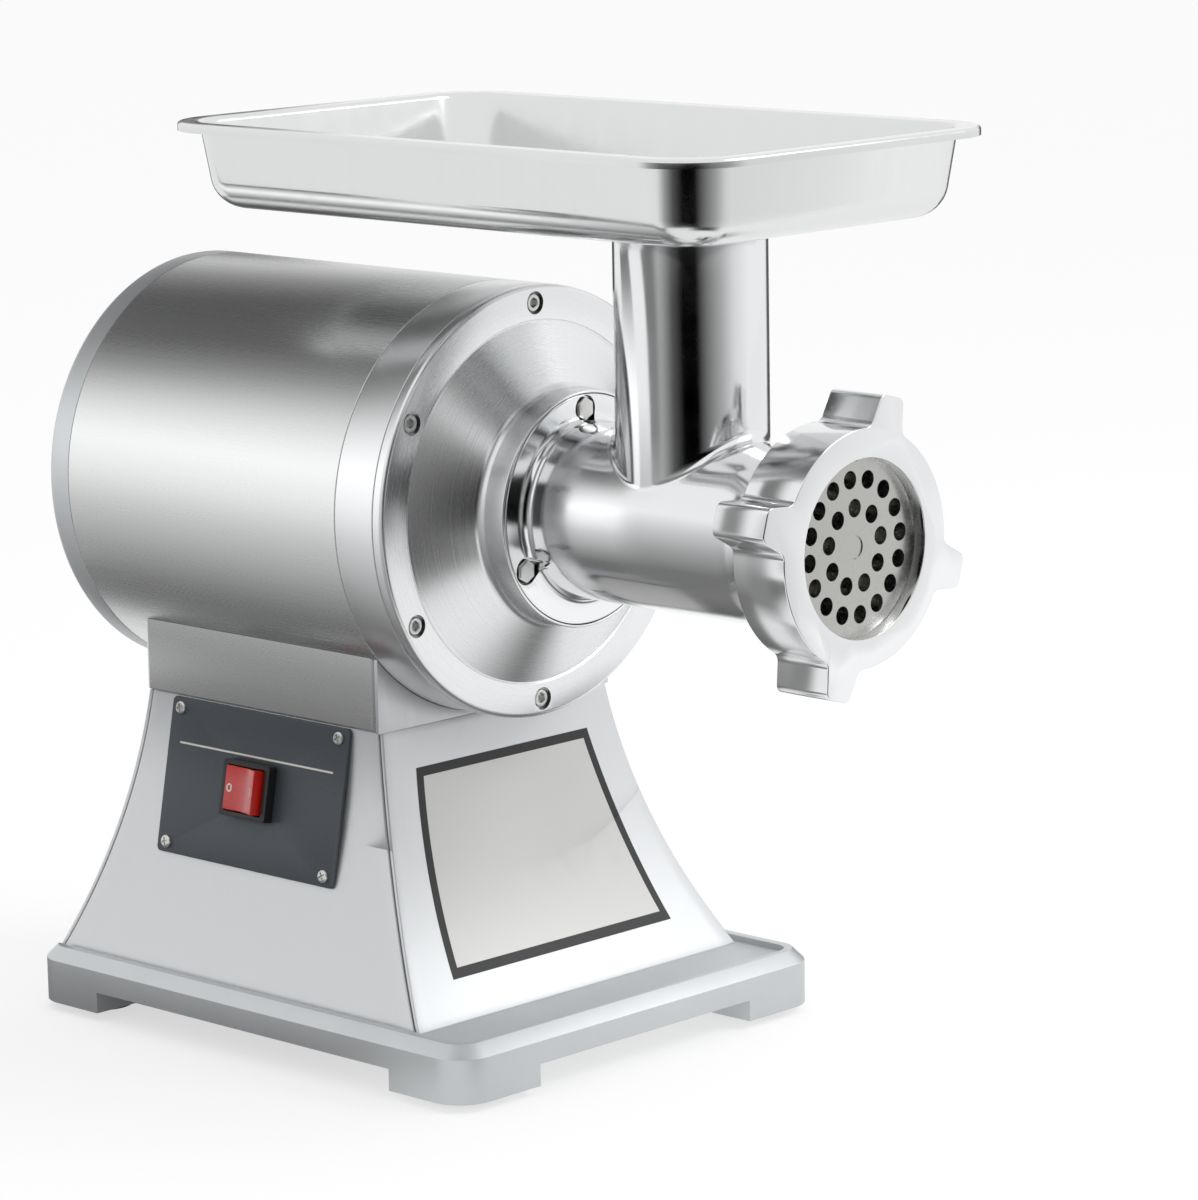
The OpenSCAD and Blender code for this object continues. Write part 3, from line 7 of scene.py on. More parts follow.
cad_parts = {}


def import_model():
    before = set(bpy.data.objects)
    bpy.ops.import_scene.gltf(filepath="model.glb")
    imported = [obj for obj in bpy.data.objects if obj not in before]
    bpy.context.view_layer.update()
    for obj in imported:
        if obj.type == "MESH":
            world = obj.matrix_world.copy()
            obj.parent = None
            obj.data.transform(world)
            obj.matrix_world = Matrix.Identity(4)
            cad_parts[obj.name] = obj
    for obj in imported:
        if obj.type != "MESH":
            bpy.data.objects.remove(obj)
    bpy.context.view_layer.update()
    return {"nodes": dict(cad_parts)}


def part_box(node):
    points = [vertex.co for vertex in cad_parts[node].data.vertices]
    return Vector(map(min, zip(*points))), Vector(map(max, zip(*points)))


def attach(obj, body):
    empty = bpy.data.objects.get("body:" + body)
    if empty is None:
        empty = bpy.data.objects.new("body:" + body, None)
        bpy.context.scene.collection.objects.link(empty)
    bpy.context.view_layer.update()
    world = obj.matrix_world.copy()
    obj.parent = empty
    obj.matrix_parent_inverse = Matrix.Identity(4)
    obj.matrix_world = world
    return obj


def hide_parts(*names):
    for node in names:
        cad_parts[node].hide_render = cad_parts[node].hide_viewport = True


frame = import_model()

# Everything is in metres, in the part's own frame: +Z up, the outlet facing -Y, the switch
# facing -X. Sizes below are millimetres times MM, and places come from the frame's nodes.
MM = 0.001

NEAR = 0.001 * MM                # points closer than this count as one
drum_low, drum_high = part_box("drum_shell")
DRUM_R = (drum_high.x - drum_low.x) / 2
AXIS_H = (drum_high.z + drum_low.z) / 2
DRUM_WALL = 1.5 * MM
SEAM = 0.15 * MM                 # half of the joint line that shows between two castings


# ---- Nodes and colours ---------------------------------------------------------------------

def linear(hex_code):
    """The linear colour, with alpha, of an sRGB hex value."""
    shares = [int(hex_code[i:i + 2], 16) / 255 for i in (1, 3, 5)]
    return tuple(
        s / 12.92 if s <= 0.04045 else ((s + 0.055) / 1.055) ** 2.4 for s in shares
    ) + (1.0,)


def add(tree, kind, inputs=None, **settings):
    """Adds a node. An input given as a socket is linked, and any other value is set."""
    node = tree.nodes.new(kind)
    for name, value in settings.items():
        setattr(node, name, value)
    for name, value in (inputs or {}).items():
        if isinstance(value, bpy.types.NodeSocket):
            tree.links.new(value, node.inputs[name])
        else:
            node.inputs[name].default_value = value
    return node


def new_material(name, colour, roughness, metallic=0.0, **sockets):
    """A principled material, its tree and its shader."""
    material = bpy.data.materials.new(name)
    material.use_nodes = True
    tree = material.node_tree
    shader = tree.nodes["Principled BSDF"]
    shader.inputs["Base Color"].default_value = linear(colour)
    shader.inputs["Roughness"].default_value = roughness
    shader.inputs["Metallic"].default_value = metallic
    for socket, value in sockets.items():
        shader.inputs[socket.replace("_", " ")].default_value = value
    return material, tree, shader


def pattern(tree, spacing, stretch=(1, 1, 1), detail=3.0):
    """Noise on the piece's own coordinates. spacing is its grain's size in metres."""
    place = add(tree, "ShaderNodeTexCoord").outputs["Object"]
    scaled = add(tree, "ShaderNodeMapping", {"Vector": place, "Scale": stretch})
    noise = add(
        tree, "ShaderNodeTexNoise",
        {"Vector": scaled.outputs["Vector"], "Scale": 1 / spacing, "Detail": detail},
    )
    return noise.outputs["Fac"]


def lathe_rings(tree, spacing):
    """Rings round the drum's axis, as a turning tool leaves them."""
    place = add(tree, "ShaderNodeTexCoord").outputs["Object"]
    across = add(
        tree, "ShaderNodeMapping",
        {"Vector": place, "Location": (0, 0, -AXIS_H), "Scale": (1, 0, 1)},
    )
    radius = add(
        tree, "ShaderNodeVectorMath", {0: across.outputs["Vector"]}, operation="LENGTH"
    )
    rings = add(
        tree, "ShaderNodeTexNoise",
        {"W": radius.outputs["Value"], "Scale": 1 / spacing, "Detail": 2.0},
        noise_dimensions="1D",
    )
    return rings.outputs["Fac"]


MIX_A, MIX_B, MIX_RESULT = 6, 7, 2       # a Mix node's sockets for colours
MIX_LOW, MIX_HIGH, MIX_VALUE = 2, 3, 0   # and for plain values


def vary_roughness(tree, shader, value, low, high):
    """Spreads the roughness from low to high by a noise value."""
    ranged = add(
        tree, "ShaderNodeMapRange",
        {"Value": value, "From Min": 0.3, "From Max": 0.7, "To Min": low, "To Max": high},
    )
    tree.links.new(ranged.outputs["Result"], shader.inputs["Roughness"])


def vary_colour(tree, shader, value, dark, light):
    """Takes the colour from between two hex values by a noise value."""
    mix = add(
        tree, "ShaderNodeMix", {0: value, MIX_A: linear(dark), MIX_B: linear(light)},
        data_type="RGBA",
    )
    tree.links.new(mix.outputs[MIX_RESULT], shader.inputs["Base Color"])


def emboss(tree, shader, height, depth):
    """Raises the surface by up to depth, in metres."""
    relief = add(tree, "ShaderNodeBump", {"Height": height, "Distance": depth, "Strength": 1.0})
    tree.links.new(relief.outputs["Normal"], shader.inputs["Normal"])


# ---- Materials -----------------------------------------------------------------------------

def polished_stainless():
    """Cast 304 stainless, buffed to a mirror: sharp reflections, slightly uneven by hand."""
    material, tree, shader = new_material("mirror_polished_stainless", "#e9eaeb", 0.12, 1.0)
    vary_roughness(tree, shader, pattern(tree, 14 * MM, detail=1.0), 0.10, 0.15)
    emboss(tree, shader, pattern(tree, 26 * MM, detail=0.0), 0.06 * MM)
    return material


def satin_stainless():
    """Rolled stainless sheet with a fine grain along the drum: long, soft reflections."""
    material, tree, shader = new_material("rolled_satin_stainless", "#dddede", 0.28, 1.0)
    vary_roughness(tree, shader, pattern(tree, 1.0 * MM, (1, 0.01, 1), 2.0), 0.265, 0.295)
    return material


def tray_stainless():
    """Pressed stainless tray, polished by a wheel: clear but softened reflections."""
    material, tree, shader = new_material("pressed_polished_stainless", "#dedfdf", 0.16, 1.0)
    vary_roughness(tree, shader, pattern(tree, 9 * MM, (1, 1, 0.2)), 0.14, 0.22)
    return material


def cast_aluminium():
    """Sand-cast aluminium, shot blasted and sprayed silver: matt with a faint orange peel."""
    material, tree, shader = new_material("silver_sprayed_casting", "#d0d3d5", 0.42, 0.7)
    vary_colour(tree, shader, pattern(tree, 30 * MM), "#cbced0", "#d6d9db")
    emboss(tree, shader, pattern(tree, 1.6 * MM, detail=2.0), 0.03 * MM)
    return material


def machined_aluminium():
    """Turned aluminium: rings left by the tool round the axis, soft bright reflections."""
    material, tree, shader = new_material("turned_aluminium", "#e6e7e8", 0.26, 1.0)
    vary_roughness(tree, shader, lathe_rings(tree, 0.9 * MM), 0.24, 0.28)
    return material


def painted_sheet():
    """Brushed steel sheet under a silver lacquer: pale, satin, with a faint vertical grain."""
    material, tree, shader = new_material("silver_lacquered_sheet", "#dadcde", 0.38, 0.7)
    vary_roughness(tree, shader, pattern(tree, 0.9 * MM, (1, 1, 0.02)), 0.34, 0.43)
    return material


def tool_steel():
    """Ground tool steel: grey, fairly bright."""
    material, tree, shader = new_material("ground_tool_steel", "#b9b9b6", 0.25, 1.0)
    vary_roughness(tree, shader, pattern(tree, 3 * MM), 0.2, 0.34)
    return material


def gear_steel():
    """Hobbed gear steel with a film of grease: darker, softly shining."""
    material, tree, shader = new_material("oiled_gear_steel", "#8f8d88", 0.3, 1.0)
    vary_roughness(tree, shader, pattern(tree, 5 * MM), 0.22, 0.4)
    return material


def bright_fastener():
    """Zinc-plated screws: bright, a little hazy."""
    material, tree, shader = new_material("zinc_plated_steel", "#d2d3d1", 0.34, 1.0)
    vary_roughness(tree, shader, pattern(tree, 2 * MM), 0.28, 0.4)
    return material


def slate_plate():
    """Anodised aluminium plate printed slate grey: matt with a fine sparkle."""
    material, tree, shader = new_material("slate_anodised_aluminium", "#4b5056", 0.42, 0.35)
    vary_colour(tree, shader, pattern(tree, 0.8 * MM), "#464b51", "#545a60")
    return material


def red_rocker():
    """Clear red polycarbonate: glossy, with a slightly uneven depth of colour."""
    material, tree, shader = new_material(
        "red_polycarbonate", "#d01c14", 0.18, IOR=1.58, Coat_Weight=0.4
    )
    vary_colour(tree, shader, pattern(tree, 6 * MM), "#b9130e", "#e0271c")
    return material


def black_plastic():
    """Moulded black nylon: fine spark-eroded texture, low sheen."""
    material, tree, shader = new_material("moulded_black_nylon", "#16171a", 0.4, IOR=1.53)
    emboss(tree, shader, pattern(tree, 0.7 * MM), 0.02 * MM)
    return material


def black_rubber():
    """Moulded rubber: matt black with a dusty bloom."""
    material, tree, shader = new_material("moulded_black_rubber", "#1b1b1c", 0.7, IOR=1.52)
    vary_colour(tree, shader, pattern(tree, 4 * MM), "#161617", "#242425")
    emboss(tree, shader, pattern(tree, 0.9 * MM), 0.04 * MM)
    return material


def white_nylon():
    """Natural nylon: milky, slightly waxy."""
    material, tree, shader = new_material("natural_nylon", "#e6e3da", 0.45, IOR=1.53)
    vary_colour(tree, shader, pattern(tree, 10 * MM), "#dfdbd0", "#ece9e1")
    return material


def copper_winding():
    """Enamelled copper wire: warm, glossy varnish over the strands."""
    material, tree, shader = new_material(
        "varnished_copper_wire", "#b4622f", 0.3, 0.9, Coat_Weight=0.5
    )
    strands = pattern(tree, 1.0 * MM, (1, 0.1, 1))
    vary_colour(tree, shader, strands, "#8e4621", "#c87440")
    emboss(tree, shader, strands, 0.2 * MM)
    return material


def electrical_steel():
    """Stacked laminations: dull grey, lined across the axis at each sheet."""
    material, tree, shader = new_material("electrical_steel_stack", "#777a7c", 0.42, 0.9)
    sheets = pattern(tree, 0.8 * MM, (0.02, 1, 0.02), 1.0)
    vary_colour(tree, shader, sheets, "#6a6d6f", "#858889")
    emboss(tree, shader, sheets, 0.05 * MM)
    return material


def label_foil():
    """Silvered polyester film: pale and softly shining."""
    material, tree, shader = new_material("silvered_polyester_film", "#d4d4d2", 0.35, 0.35)
    vary_roughness(tree, shader, pattern(tree, 8 * MM), 0.3, 0.4)
    return material


MATERIALS = {
    finish.__name__: finish() for finish in (
        label_foil, polished_stainless, satin_stainless, tray_stainless, cast_aluminium,
        machined_aluminium, painted_sheet, tool_steel, gear_steel, bright_fastener, slate_plate,
        red_rocker, black_plastic, black_rubber, white_nylon, copper_winding, electrical_steel,
    )
}

for node in frame["nodes"].values():
    node.material_slots[0].material = MATERIALS[node.material_slots[0].material.name]


# ---- Modelling -----------------------------------------------------------------------------

SELECT_MODES = {"verts": "VERT", "edges": "EDGE", "faces": "FACE"}


def edit(piece):
    """Opens a piece alone in edit mode."""
    if bpy.context.object and bpy.context.object.mode == "EDIT":
        bpy.ops.object.mode_set(mode="OBJECT")
    bpy.ops.object.select_all(action="DESELECT")
    piece.select_set(True)
    bpy.context.view_layer.objects.active = piece
    bpy.ops.object.mode_set(mode="EDIT")


def leave():
    """Goes back to object mode."""
    bpy.ops.object.mode_set(mode="OBJECT")


def middle(part):
    """The place of a vertex, or the middle of an edge or face."""
    if isinstance(part, bmesh.types.BMVert):
        return part.co
    return sum((v.co for v in part.verts), Vector()) / len(part.verts)


def pick(kind, test):
    """Selects, in edit mode, the parts of one kind that pass a test."""
    bpy.ops.mesh.select_mode(type=SELECT_MODES[kind])
    bpy.ops.mesh.select_all(action="DESELECT")
    mesh = bmesh.from_edit_mesh(bpy.context.object.data)
    for part in getattr(mesh, kind):
        if test(part):
            part.select_set(True)
    bmesh.update_edit_mesh(bpy.context.object.data)


def pick_all():
    """Selects, in edit mode, the whole mesh."""
    bpy.ops.mesh.select_all(action="SELECT")


def at_height(part, height, near=0.01 * MM):
    """Whether all of an edge or face lies at a height."""
    return all(abs(v.co.z - height) < near for v in part.verts)


def upright(edge):
    """Whether an edge runs up a piece."""
    return abs(edge.verts[0].co.z - edge.verts[1].co.z) > MM


def extrude(x, y, z):
    """Extrudes what is selected by a distance."""
    bpy.ops.mesh.extrude_region_move(TRANSFORM_OT_translate={"value": (x, y, z)})


def bevel(width, segments=3, **settings):
    """Bevels what is selected."""
    bpy.ops.mesh.bevel(offset=width, offset_type="OFFSET", segments=segments, **settings)


def primitive(kind, name, **settings):
    """Adds a mesh primitive with its place in its mesh, and names it."""
    bpy.ops.object.select_all(action="DESELECT")
    getattr(bpy.ops.mesh, f"primitive_{kind}_add")(**settings)
    piece = bpy.context.object
    piece.name = name
    bpy.ops.object.transform_apply(location=True, rotation=True, scale=True)
    return piece


def block(name, low, high):
    """A box between two corners."""
    low, high = Vector(low), Vector(high)
    return primitive("cube", name, size=1, location=(low + high) / 2, scale=high - low)


def rod(name, radius, start, end, vertices=96):
    """A round rod between two points."""
    start, end = Vector(start), Vector(end)
    along = end - start
    return primitive(
        "cylinder", name, radius=radius, depth=along.length, vertices=vertices,
        location=(start + end) / 2, rotation=along.to_track_quat("Z", "Y").to_euler(),
    )


def modify(piece, kind, **settings):
    """Adds a modifier and applies it."""
    bpy.ops.object.select_all(action="DESELECT")
    piece.select_set(True)
    bpy.context.view_layer.objects.active = piece
    modifier = piece.modifiers.new(kind.lower(), kind)
    for name, value in settings.items():
        setattr(modifier, name, value)
    bpy.ops.object.modifier_apply(modifier=modifier.name)


def soften(piece, width, segments=3, angle=40):
    """Rounds every edge that turns more than an angle, in degrees."""
    modify(
        piece, "BEVEL", width=width, segments=segments, limit_method="ANGLE",
        angle_limit=math.radians(angle), use_clamp_overlap=True, harden_normals=False,
    )


def cut(piece, *cutters):
    """Cuts shapes out of a piece."""
    for cutter in cutters:
        modify(piece, "BOOLEAN", object=cutter, operation="DIFFERENCE", solver="EXACT")
        bpy.data.objects.remove(cutter)


def joined(name, *parts):
    """Several meshes as one object."""
    bpy.ops.object.select_all(action="DESELECT")
    for part in parts:
        part.select_set(True)
    bpy.context.view_layer.objects.active = parts[0]
    bpy.ops.object.join()
    piece = bpy.context.object
    piece.name = name
    return piece


def outwards(piece):
    """Merges doubles and turns every face outwards."""
    edit(piece)
    pick_all()
    bpy.ops.mesh.remove_doubles(threshold=2 * NEAR)
    bpy.ops.mesh.normals_make_consistent(inside=False)
    leave()


def face_towards(sheet, direction):
    """Turns an open sheet so that its faces look towards a direction."""
    if sum(face.normal.dot(direction) for face in sheet.data.polygons) < 0:
        sheet.data.flip_normals()


def done(piece, body, slot, *replaced, angle=30):
    """Smooths a finished piece, and gives it its body and the slot with its material."""
    bpy.ops.object.select_all(action="DESELECT")
    piece.select_set(True)
    bpy.context.view_layer.objects.active = piece
    bpy.ops.object.shade_smooth_by_angle(angle=math.radians(angle))
    piece.data.materials.clear()
    piece.data.materials.append(MATERIALS[slot])
    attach(piece, body)
    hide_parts(*replaced)
    return piece


def turned(name, outline, steps=192, closed=True):
    """A body turned about the drum's axis. outline holds (place along Y, radius, rounding)."""
    piece = primitive("plane", name, size=MM)
    edit(piece)
    bpy.ops.mesh.select_mode(type="VERT")
    pick_all()
    bpy.ops.mesh.merge(type="CENTER")
    points = [Vector((0, y, AXIS_H + radius)) for y, radius, _ in outline]
    bpy.ops.transform.translate(value=points[0])
    for a, b in zip(points, points[1:]):
        extrude(*(b - a))
    if closed:
        ends = (points[0], points[-1])
        pick("verts", lambda v: any((v.co - end).length < NEAR for end in ends))
        bpy.ops.mesh.edge_face_add()
    for point, (_, _, rounding) in zip(points, outline):
        if rounding:
            pick("verts", lambda v: (v.co - point).length < NEAR)
            bevel(rounding, 5, affect="VERTICES")
    pick_all()
    bpy.ops.mesh.spin(
        steps=steps, angle=2 * math.pi, center=(0, 0, AXIS_H), axis=(0, 1, 0)
    )
    leave()
    outwards(piece)
    return piece


def rounded(corners, steps=6):
    """Outline points of a polygon whose corners, (x, y, radius), are rounded by arcs."""
    points = []
    for i, (x, y, radius) in enumerate(corners):
        here = Vector((x, y))
        if not radius:
            points.append(here)
            continue
        back = (Vector(corners[i - 1][:2]) - here).normalized()
        on = (Vector(corners[(i + 1) % len(corners)][:2]) - here).normalized()
        half = back.angle(on) / 2
        centre = here + (back + on).normalized() * radius / math.sin(half)
        start = here + back * radius / math.tan(half) - centre
        turn = math.pi - 2 * half
        if start.y * back.x - start.x * back.y < 0:
            turn = -turn
        for k in range(steps + 1):
            a = turn * k / steps
            points.append(centre + Vector((
                start.x * math.cos(a) - start.y * math.sin(a),
                start.x * math.sin(a) + start.y * math.cos(a),
            )))
    return points


def slab(name, outline, thickness, place):
    """An outline laid in a place's XY plane and raised along its Z."""
    piece = primitive("circle", name, vertices=len(outline), radius=1, fill_type="NGON")
    for vertex, (x, y) in zip(piece.data.vertices, outline):
        vertex.co = (x, y, 0)
    edit(piece)
    pick_all()
    extrude(0, 0, thickness)
    leave()
    piece.data.transform(place)
    outwards(piece)
    return piece


def box_outline(w, h, radius):
    """A rectangle about the origin, its corners rounded."""
    return rounded([
        (-w / 2, -h / 2, radius), (w / 2, -h / 2, radius),
        (w / 2, h / 2, radius), (-w / 2, h / 2, radius),
    ])


def around(count, radius, first=0.0):
    """Places of a ring of parts about the drum's axis, as (X, Z), from an angle above +X."""
    for i in range(count):
        angle = math.radians(first + 360 * i / count)
        yield radius * math.cos(angle), AXIS_H + radius * math.sin(angle)


# ---- Drum, rear cap and front cover --------------------------------------------------------

def drum():
    """The rolled drum, its ends broken so that the joints show as fine lines."""
    y0, y1, r = drum_low.y + SEAM, drum_high.y - SEAM, DRUM_R
    piece = turned("drum", [
        (y0, r, 0.5 * MM), (y1, r, 0.5 * MM), (y1, r - DRUM_WALL, 0), (y0, r - DRUM_WALL, 0),
    ])
    return done(piece, "machine", "satin_stainless", "drum_shell")


def rear_cap():
    """The cast cap behind the drum, with its ring of cooling slots."""
    low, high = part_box("rear_cap")
    wall, inner = 3 * MM, DRUM_R - DRUM_WALL
    slot_in, slot_out, slot_half, slot_count = 34 * MM, 72 * MM, 1.6 * MM, 24
    y0, y1 = low.y + SEAM, high.y
    piece = turned("cap", [
        (y1 - wall, 0, 0), (y1 - wall, inner, 2 * MM), (y0, inner, 0),
        (y0, DRUM_R, 0.4 * MM), (y1, DRUM_R, 3 * MM), (y1, 0, 0),
    ], closed=False)
    slots = []
    for i in range(slot_count):
        slot = block(
            "slot", (slot_in, y1 - wall - 2 * MM, -slot_half), (slot_out, y1 + MM, slot_half)
        )
        edit(slot)
        pick("edges", lambda e: abs(e.verts[0].co.y - e.verts[1].co.y) > MM)
        bevel(slot_half - 0.01 * MM, 4)
        leave()
        turn = Matrix.Rotation(math.tau * i / slot_count, 4, "Y")
        slot.data.transform(Matrix.Translation((0, 0, AXIS_H)) @ turn)
        slots.append(slot)
    cut(piece, joined("slots", *slots))
    return done(piece, "machine", "cast_aluminium", "rear_cap")


RIM_T = 6 * MM                   # the flat rim of the front cover
COVER_FACE_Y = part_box("gearbox_housing")[0].y - RIM_T
BOSS_R, BOSS_L = 53.5 * MM, 30 * MM
FLANGE_R, FLANGE_T = 52 * MM, 8 * MM
SCREW_CIRCLE_R = 90.5 * MM


def front_cover():
    """The turned cover: flat rim, step, dish, and the boss that takes the head's flange."""
    face, back = COVER_FACE_Y, COVER_FACE_Y + RIM_T - SEAM
    end = face - BOSS_L
    recess, recess_r = end + FLANGE_T, FLANGE_R + 0.25 * MM
    shaft_r, hub_r, hub_end = 26.1 * MM, 31 * MM, face + 15 * MM
    piece = turned("cover", [
        (back, DRUM_R, 0.4 * MM), (face, DRUM_R, 2.2 * MM), (face, 83 * MM, 0.5 * MM),
        (face + MM, 82.3 * MM, 0.5 * MM), (face - 16.2 * MM, BOSS_R, 3 * MM),
        (end, BOSS_R, 0.7 * MM), (end, recess_r, 0.3 * MM), (recess, recess_r, 0),
        (recess, shaft_r, 0), (hub_end, shaft_r, 0), (hub_end, hub_r, 0),
        (face - 8 * MM, hub_r, 0), (face - 8 * MM, 50 * MM, 0), (back, 78 * MM, 0),
    ])
    bores = [
        rod("bore", 5.2 * MM, (x, face - 2 * MM, z), (x, face + 5 * MM, z), 48)
        for x, z in around(6, SCREW_CIRCLE_R, 30)
    ]
    cut(piece, joined("bores", *bores))
    return done(piece, "machine", "machined_aluminium", "front_cover")


# ---- Grinding head -------------------------------------------------------------------------

BARREL_R, NECK_R = 39.5 * MM, 34 * MM
NECK_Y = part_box("tray")[0].y + 97 * MM
NECK_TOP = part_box("head_body")[1].z
BLEND_R = 6 * MM                 # the cast fillet between the neck and the barrel
COLUMN = math.radians(2.5)       # one column of the barrel's mesh
PATCH_COLUMNS, PATCH_ROWS = 60, 56
PATCH_L = 96 * MM                # length of the patch that runs into the neck
BOLT_COUNT, BOLT_CIRCLE_R, POCKET_DEPTH = 3, 45.3 * MM, 4.5 * MM


def barrel_rows():
    """(Y, radius) of each ring of the barrel, rear to front, and the two ends of the patch."""
    front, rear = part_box("head_body")[0].y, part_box("head_body")[1].y
    flange = rear - FLANGE_T
    rows = [
        (rear, FLANGE_R - 0.4 * MM), (rear - 0.4 * MM, FLANGE_R),
        (flange + 0.8 * MM, FLANGE_R), (flange + 0.25 * MM, FLANGE_R - 0.25 * MM),
        (flange, FLANGE_R - 0.8 * MM), (flange, FLANGE_R - 1.2 * MM),
    ]
    cove, cove_steps = 5 * MM, 8
    for k in range(cove_steps + 1):
        a = math.pi / 2 * (1 - k / cove_steps)
        rows.append((
            flange - cove + cove * math.sin(a), BARREL_R + cove * (1 - math.cos(a))
        ))
    first = len(rows)
    for k in range(PATCH_ROWS + 1):
        rows.append((NECK_Y + PATCH_L / 2 - PATCH_L * k / PATCH_ROWS, BARREL_R))
    last = len(rows) - 1
    shoulder, rise, rise_l, rise_steps, edge = front + 28 * MM, 7 * MM, 5 * MM, 6, 0.6 * MM
    for k in range(rise_steps + 1):
        t = k / rise_steps
        rows.append((shoulder - rise_l * t, BARREL_R + rise * t * t * (3 - 2 * t)))
    mouth_r = BARREL_R + rise
    rows += [(front + edge, mouth_r), (front, mouth_r - edge)]
    return rows, first, last


def blend_rings(angle):
    """Points of the neck's foot at an angle: neck, rolling-ball fillet, then the barrel."""
    x, y = (NECK_R + BLEND_R) * math.cos(angle), (NECK_R + BLEND_R) * math.sin(angle)
    z = math.sqrt((BARREL_R + BLEND_R) ** 2 - x * x)
    centre = Vector((x, NECK_Y + y, AXIS_H + z))
    on_neck = Vector((NECK_R * math.cos(angle), NECK_Y + NECK_R * math.sin(angle), centre.z))
    share = BARREL_R / (BARREL_R + BLEND_R)
    on_barrel = Vector((x * share, centre.y, AXIS_H + z * share))
    a, b = on_neck - centre, on_barrel - centre
    turn = a.angle(b)
    steps = 10
    return [
        centre + (a * math.sin(turn * (1 - k / steps)) + b * math.sin(turn * k / steps))
        / math.sin(turn)
        for k in range(steps + 1)
    ]


def head():
    """The cast head: flange, cove, barrel and mouth, with the neck blended into the barrel."""
    rows, first, last = barrel_rows()
    columns = round(math.tau / COLUMN)
    half = PATCH_COLUMNS // 2
    mesh = bmesh.new()
    grid = {}

    def on_grid(i, j):
        key = (i % columns, j)
        if key not in grid:
            y, radius = rows[j]
            a = COLUMN * i
            grid[key] = mesh.verts.new((radius * math.sin(a), y, AXIS_H + radius * math.cos(a)))
        return grid[key]

    def in_patch(i, j):
        return first <= j < last and (i % columns < half or i % columns >= columns - half)

    for j in range(len(rows) - 1):
        for i in range(columns):
            if not in_patch(i, j):
                mesh.faces.new([
                    on_grid(i, j), on_grid(i, j + 1), on_grid(i + 1, j + 1), on_grid(i + 1, j)
                ])
    for j in (0, len(rows) - 1):
        mesh.faces.new([on_grid(i, j) for i in range(columns)])

    edge = (
        [(half, j) for j in range(first, last)]
        + [(i, last) for i in range(half, -half, -1)]
        + [(-half, j) for j in range(last, first, -1)]
        + [(i, first) for i in range(-half, half)]
    )
    rings = []
    patch_rings = 8
    for i, j in edge:
        across = i / half
        along = (rows[j][0] - NECK_Y) / (PATCH_L / 2)
        foot = blend_rings(math.atan2(along, across))
        inner = foot[-1]
        turn = math.atan2(inner.x, inner.z - AXIS_H)
        out = Vector((foot[0].x, foot[0].y - NECK_Y, 0)).normalized()
        line = [
            Vector((0, NECK_Y, NECK_TOP - drop * MM)) + out * (NECK_R - inset * MM)
            for inset, drop in ((1.2, 0.0), (0.35, 0.35), (0.0, 1.2))
        ] + foot
        for k in range(1, patch_rings):
            t = k / patch_rings
            a = turn + (COLUMN * i - turn) * t
            line.append(Vector((
                BARREL_R * math.sin(a), inner.y + (rows[j][0] - inner.y) * t,
                AXIS_H + BARREL_R * math.cos(a),
            )))
        rings.append([mesh.verts.new(p) for p in line] + [on_grid(i, j)])
    for a, b in zip(rings, rings[1:] + rings[:1]):
        for k in range(len(a) - 1):
            mesh.faces.new([a[k], b[k], b[k + 1], a[k + 1]])
    mesh.faces.new([ring[0] for ring in rings])

    data = bpy.data.meshes.new("head")
    mesh.to_mesh(data)
    mesh.free()
    piece = bpy.data.objects.new("head", data)
    bpy.context.scene.collection.objects.link(piece)
    outwards(piece)

    rear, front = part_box("head_body")[1].y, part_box("head_body")[0].y
    shaft_r, worm_r, plate_r = 17.05 * MM, 35 * MM, 41.3 * MM
    worm_rear, plate_seat = rear - 10 * MM, front + 19 * MM
    bore = turned("bore", [
        (rear + MM, 0, 0), (rear + MM, shaft_r, 0), (worm_rear, shaft_r, 0),
        (worm_rear, worm_r, 0), (plate_seat, worm_r, 0), (plate_seat, plate_r, 0),
        (front - MM, plate_r, 0), (front - MM, 0, 0),
    ], closed=False, steps=144)
    neck_bore = rod(
        "neck_bore", 29.5 * MM, (0, NECK_Y, AXIS_H), (0, NECK_Y, NECK_TOP + MM), 160
    )
    flange = rear - FLANGE_T
    pockets = [
        rod("pocket", 6.3 * MM, (x, flange + POCKET_DEPTH, z), (x, flange - 6 * MM, z), 64)
        for x, z in around(BOLT_COUNT, BOLT_CIRCLE_R, 90)
    ]
    cut(piece, bore, neck_bore, joined("pockets", *pockets))
    return done(piece, "machine", "polished_stainless", "head_body", angle=35)


def head_bolts():
    """Three hexagon heads in the flange's pockets, their corners turned off."""
    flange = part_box("head_body")[1].y - FLANGE_T
    bolts = []
    for x, z in around(BOLT_COUNT, BOLT_CIRCLE_R, 90):
        bolt = rod("bolt", 5.6 * MM, (x, flange + POCKET_DEPTH, z), (x, flange - 0.2 * MM, z), 6)
        edit(bolt)
        pick("faces", lambda f: f.normal.y < -0.9)
        bpy.ops.mesh.inset(thickness=0.8 * MM)
        bpy.ops.transform.translate(value=(0, -0.5 * MM, 0))
        leave()
        soften(bolt, 0.4 * MM, 3, 20)
        bolts.append(bolt)
    return done(
        joined("bolts", *bolts), "machine", "bright_fastener", "head_bolts", angle=25
    )


# ---- Ring ----------------------------------------------------------------------------------

RING_R, LUG_TIP_R = 52 * MM, 66 * MM
OUTLET_R = 39 * MM


